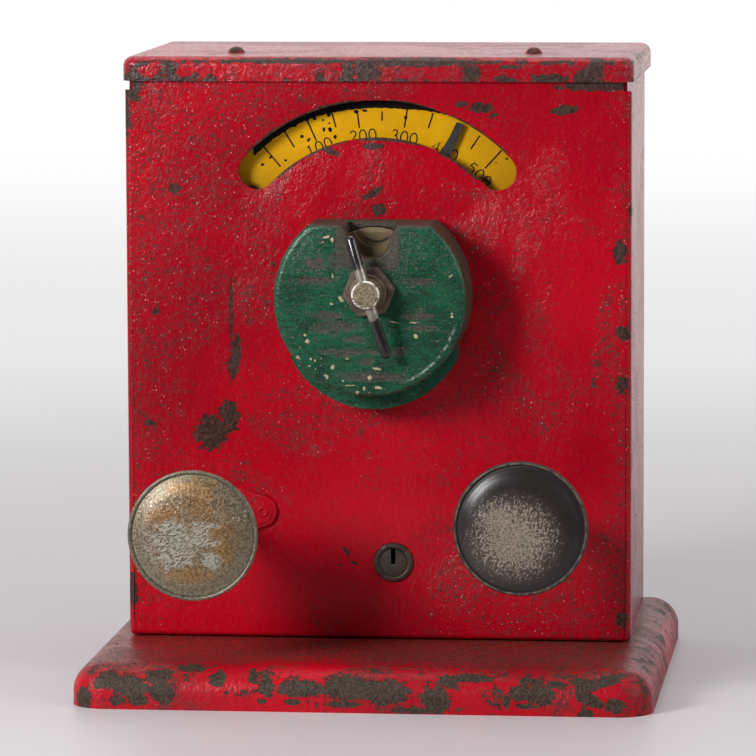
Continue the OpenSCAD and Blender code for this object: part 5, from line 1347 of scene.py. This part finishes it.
def ribbon(bm, points, width):
    """Adds a thin ribbon to the dial's marks: the line moved by half the width to both sides."""
    p = np.asarray(points, float)
    way = np.gradient(p, axis=0)
    way /= np.linalg.norm(way, axis=1)[:, None] + 1e-12
    side = np.stack([-way[:, 1], way[:, 0]], 1) * width / 2
    corners = ((p + side, DIAL_Y), (p - side, DIAL_Y), (p - side, DIAL_Y + INK),
               (p + side, DIAL_Y + INK))
    grid = bm_grid(bm, np.stack([at_depth(line, y) for line, y in corners], 1))
    for end in (grid[0], grid[-1]):
        bm.faces.new(end)


FIGURES = {
    "0": [arc((0, 0), (0.29, 0.48), 0, 360, 26)],
    "1": [np.array([(-0.14, 0.3), (0.02, 0.48), (0.02, -0.48)]),
          np.array([(-0.14, -0.48), (0.18, -0.48)])],
    "2": [np.vstack([arc((0, 0.22), (0.23, 0.25), 165, -35, 14), [(-0.25, -0.46), (0.27, -0.46)]])],
    "3": [np.vstack([arc((-0.01, 0.24), (0.2, 0.24), 150, -80, 12),
                     arc((-0.02, -0.22), (0.26, 0.25), 85, -150, 14)])],
    "4": [np.array([(0.12, -0.48), (0.12, 0.48), (-0.3, -0.18), (0.28, -0.18)])],
    "5": [np.vstack([[(0.22, 0.46), (-0.18, 0.46), (-0.22, 0.06)],
                     arc((-0.02, -0.16), (0.26, 0.3), 110, -150, 14)])],
}


def place(points, radius, angle, size=1.0, shift=0.0):
    """Puts an upright drawing on the arc: scaled, moved along it and turned from the top."""
    a = math.radians(angle)
    p = np.asarray(points) * size + [shift, radius]
    return np.stack([p[:, 0] * math.cos(a) + p[:, 1] * math.sin(a),
                     -p[:, 0] * math.sin(a) + p[:, 1] * math.cos(a) + SHAFT_Z], 1)


bm = bmesh.new()
TICKS = ((-40.4, 68.9, 80.7), (-32.0, 72.2, 81.0), (-23.8, 70.1, 80.8), (-15.4, 72.9, 79.6),
         (-7.1, 70.6, 77.8), (1.2, 73.4, 77.6), (9.4, 71.3, 80.3), (17.8, 73.7, 80.7),
         (26.1, 72.0, 81.0), (34.4, 73.7, 81.1), (42.7, 70.9, 82.0))
for angle, inner, outer in TICKS:
    ribbon(bm, place([(0, inner), (0, outer)], 0, angle), LINE)
HEIGHT, PITCH_X, FIGURE_R, STROKE = 5.4, 4.35, 67.0, 0.6
for number, angle in ((100, -23.7), (200, -6.1), (300, 9.9), (400, 26.6), (500, 42.7)):
    for k, figure in enumerate(str(number)):
        for line in FIGURES[figure]:
            ribbon(bm, place(line, FIGURE_R, angle, HEIGHT, (k - 1) * PITCH_X), STROKE)
piece_from(bm, "dial_marks", "panel", (), ink)

# %% [markdown]
# ## Floor, background and light
# The photograph was taken on a white sweep between two soft boxes. A floor that bends up into a wall
# gives the same plain ground. It grows paler with the distance from the object, and that paleness is
# for camera rays only, so it adds no light to the object. The same pale ground behind is shown to
# glossy rays, which is what the lid and the side wall mirror. In front it is dark to glossy rays.
# Seen from behind the wall, the wall's own back is clear to camera rays: Backfacing is 1 there.
# %% Sweep
def sweep_mesh(near=-2.6, far=1.3, bend=0.9, tall=3.2, wide=3.4):
    """A floor that bends up into a wall over a quarter circle, as a grid in metres."""
    a = np.linspace(0, math.pi / 2, 24)
    y = np.r_[np.linspace(near, far, 12), far + bend * np.sin(a[1:]), [far + bend] * 6]
    z = np.r_[np.zeros(12), bend * (1 - np.cos(a[1:])), np.linspace(bend, tall, 7)[1:]]
    x = np.linspace(-wide, wide, 9)
    grid = np.stack([np.broadcast_to(x, (len(y), 9)), np.broadcast_to(y[:, None], (len(y), 9)),
                     np.broadcast_to(z[:, None], (len(y), 9))], -1)
    mesh = bpy.data.meshes.new("sweep")
    mesh.from_pydata(grid.reshape(-1, 3).tolist(), [], quads(len(y), 9, wrap_cols=False).tolist())
    mesh.shade_smooth()
    return mesh


ground = bpy.data.objects.new("sweep", sweep_mesh())
bpy.context.collection.objects.link(ground)

PALE_FAR, PALE_WALL = 0.72, 0.28
mat = bpy.data.materials.new("studio_ground")
mat.use_nodes = True
n = Nodes(mat.node_tree)
shader = mat.node_tree.nodes["Principled BSDF"]
shader.inputs["Base Color"].default_value = (0.58, 0.545, 0.57, 1)
shader.inputs["Roughness"].default_value = 0.42
where = n.add("ShaderNodeTexCoord", out=3)
x, y, z = split(n, where)
far = n.add("ShaderNodeVectorMath", {0: where}, out=1, operation="LENGTH")
wall = n.times(n.most(n.step(z, 0.0, 0.12), n.step(far, 1.4, 2.6)), PALE_WALL)
fade = n.plus(n.times(n.step(far, 0.15, 1.5), PALE_FAR), wall)
mirrored = n.plus(n.times(n.step(y, 0.15, 1.5), PALE_FAR), wall)
rays = n.tree.nodes.new("ShaderNodeLightPath")
seen = n.plus(n.times(rays.outputs["Is Camera Ray"], fade),
              n.times(rays.outputs["Is Glossy Ray"], mirrored))
glow = n.add("ShaderNodeEmission", {"Color": (1, 1, 1, 1), "Strength": 1.0})
blend = n.add("ShaderNodeMixShader", {0: seen, 1: shader.outputs[0], 2: glow})
dark = n.add("ShaderNodeEmission", {"Color": (1, 1, 1, 1), "Strength": 0.05})
ahead = n.times(rays.outputs["Is Glossy Ray"], n.step(y, -0.12, -0.5))
blend = n.add("ShaderNodeMixShader", {0: ahead, 1: blend, 2: dark})
clear = n.add("ShaderNodeBsdfTransparent", {"Color": (1, 1, 1, 1)})
from_behind = n.times(rays.outputs["Is Camera Ray"], n.add("ShaderNodeNewGeometry", out="Backfacing"))
blend = n.add("ShaderNodeMixShader", {0: from_behind, 1: blend, 2: clear})
mat.node_tree.links.new(blend, mat.node_tree.nodes["Material Output"].inputs[0])
ground.data.materials.append(mat)

# %% Lights
def soft_box(name, at, aim, width, height, power):
    """A rectangular area lamp that looks at a point; sizes and places in metres."""
    lamp = bpy.data.lights.new(name, "AREA")
    lamp.shape, lamp.size, lamp.size_y, lamp.energy = "RECTANGLE", width, height, power
    obj = bpy.data.objects.new(name, lamp)
    bpy.context.collection.objects.link(obj)
    away = np.array(at, float) - np.array(aim, float)
    away /= np.linalg.norm(away)
    side = np.cross([0, 0, 1], away)
    side /= np.linalg.norm(side)
    m = np.eye(4)
    m[:3, 0], m[:3, 1], m[:3, 2], m[:3, 3] = side, np.cross(away, side), away, at
    obj.matrix_world = Matrix(m.tolist())


soft_box("left_box", (-0.95, -1.20, 0.72), (0, -0.05, 0.12), 0.5, 0.5, 27)
soft_box("right_box", (1.35, -0.60, 0.8), (0, -0.05, 0.12), 0.7, 0.8, 9)
soft_box("top_box", (0.0, 0.1, 1.7), (0, 0, 0.1), 1.6, 1.2, 12)

world = bpy.data.worlds.new("studio")
bpy.context.scene.world = world
world.use_nodes = True
n = Nodes(world.node_tree)
backing = world.node_tree.nodes["Background"]
backing.inputs["Color"].default_value = (1, 1, 1, 1)
rays = n.tree.nodes.new("ShaderNodeLightPath")
sky = n.add("ShaderNodeTexCoord", out=0)
x, y, z = split(n, sky)
room = n.step(y, -0.25, 0.35, 0.04, 0.9)
lit = n.plus(rays.outputs["Is Camera Ray"], n.times(rays.outputs["Is Glossy Ray"], room))
rest = n.minus(1.0, n.most(rays.outputs["Is Camera Ray"], rays.outputs["Is Glossy Ray"]))
world.node_tree.links.new(n.plus(lit, n.times(rest, 0.10)), backing.inputs["Strength"])
bpy.context.scene.view_settings.view_transform = "Standard"
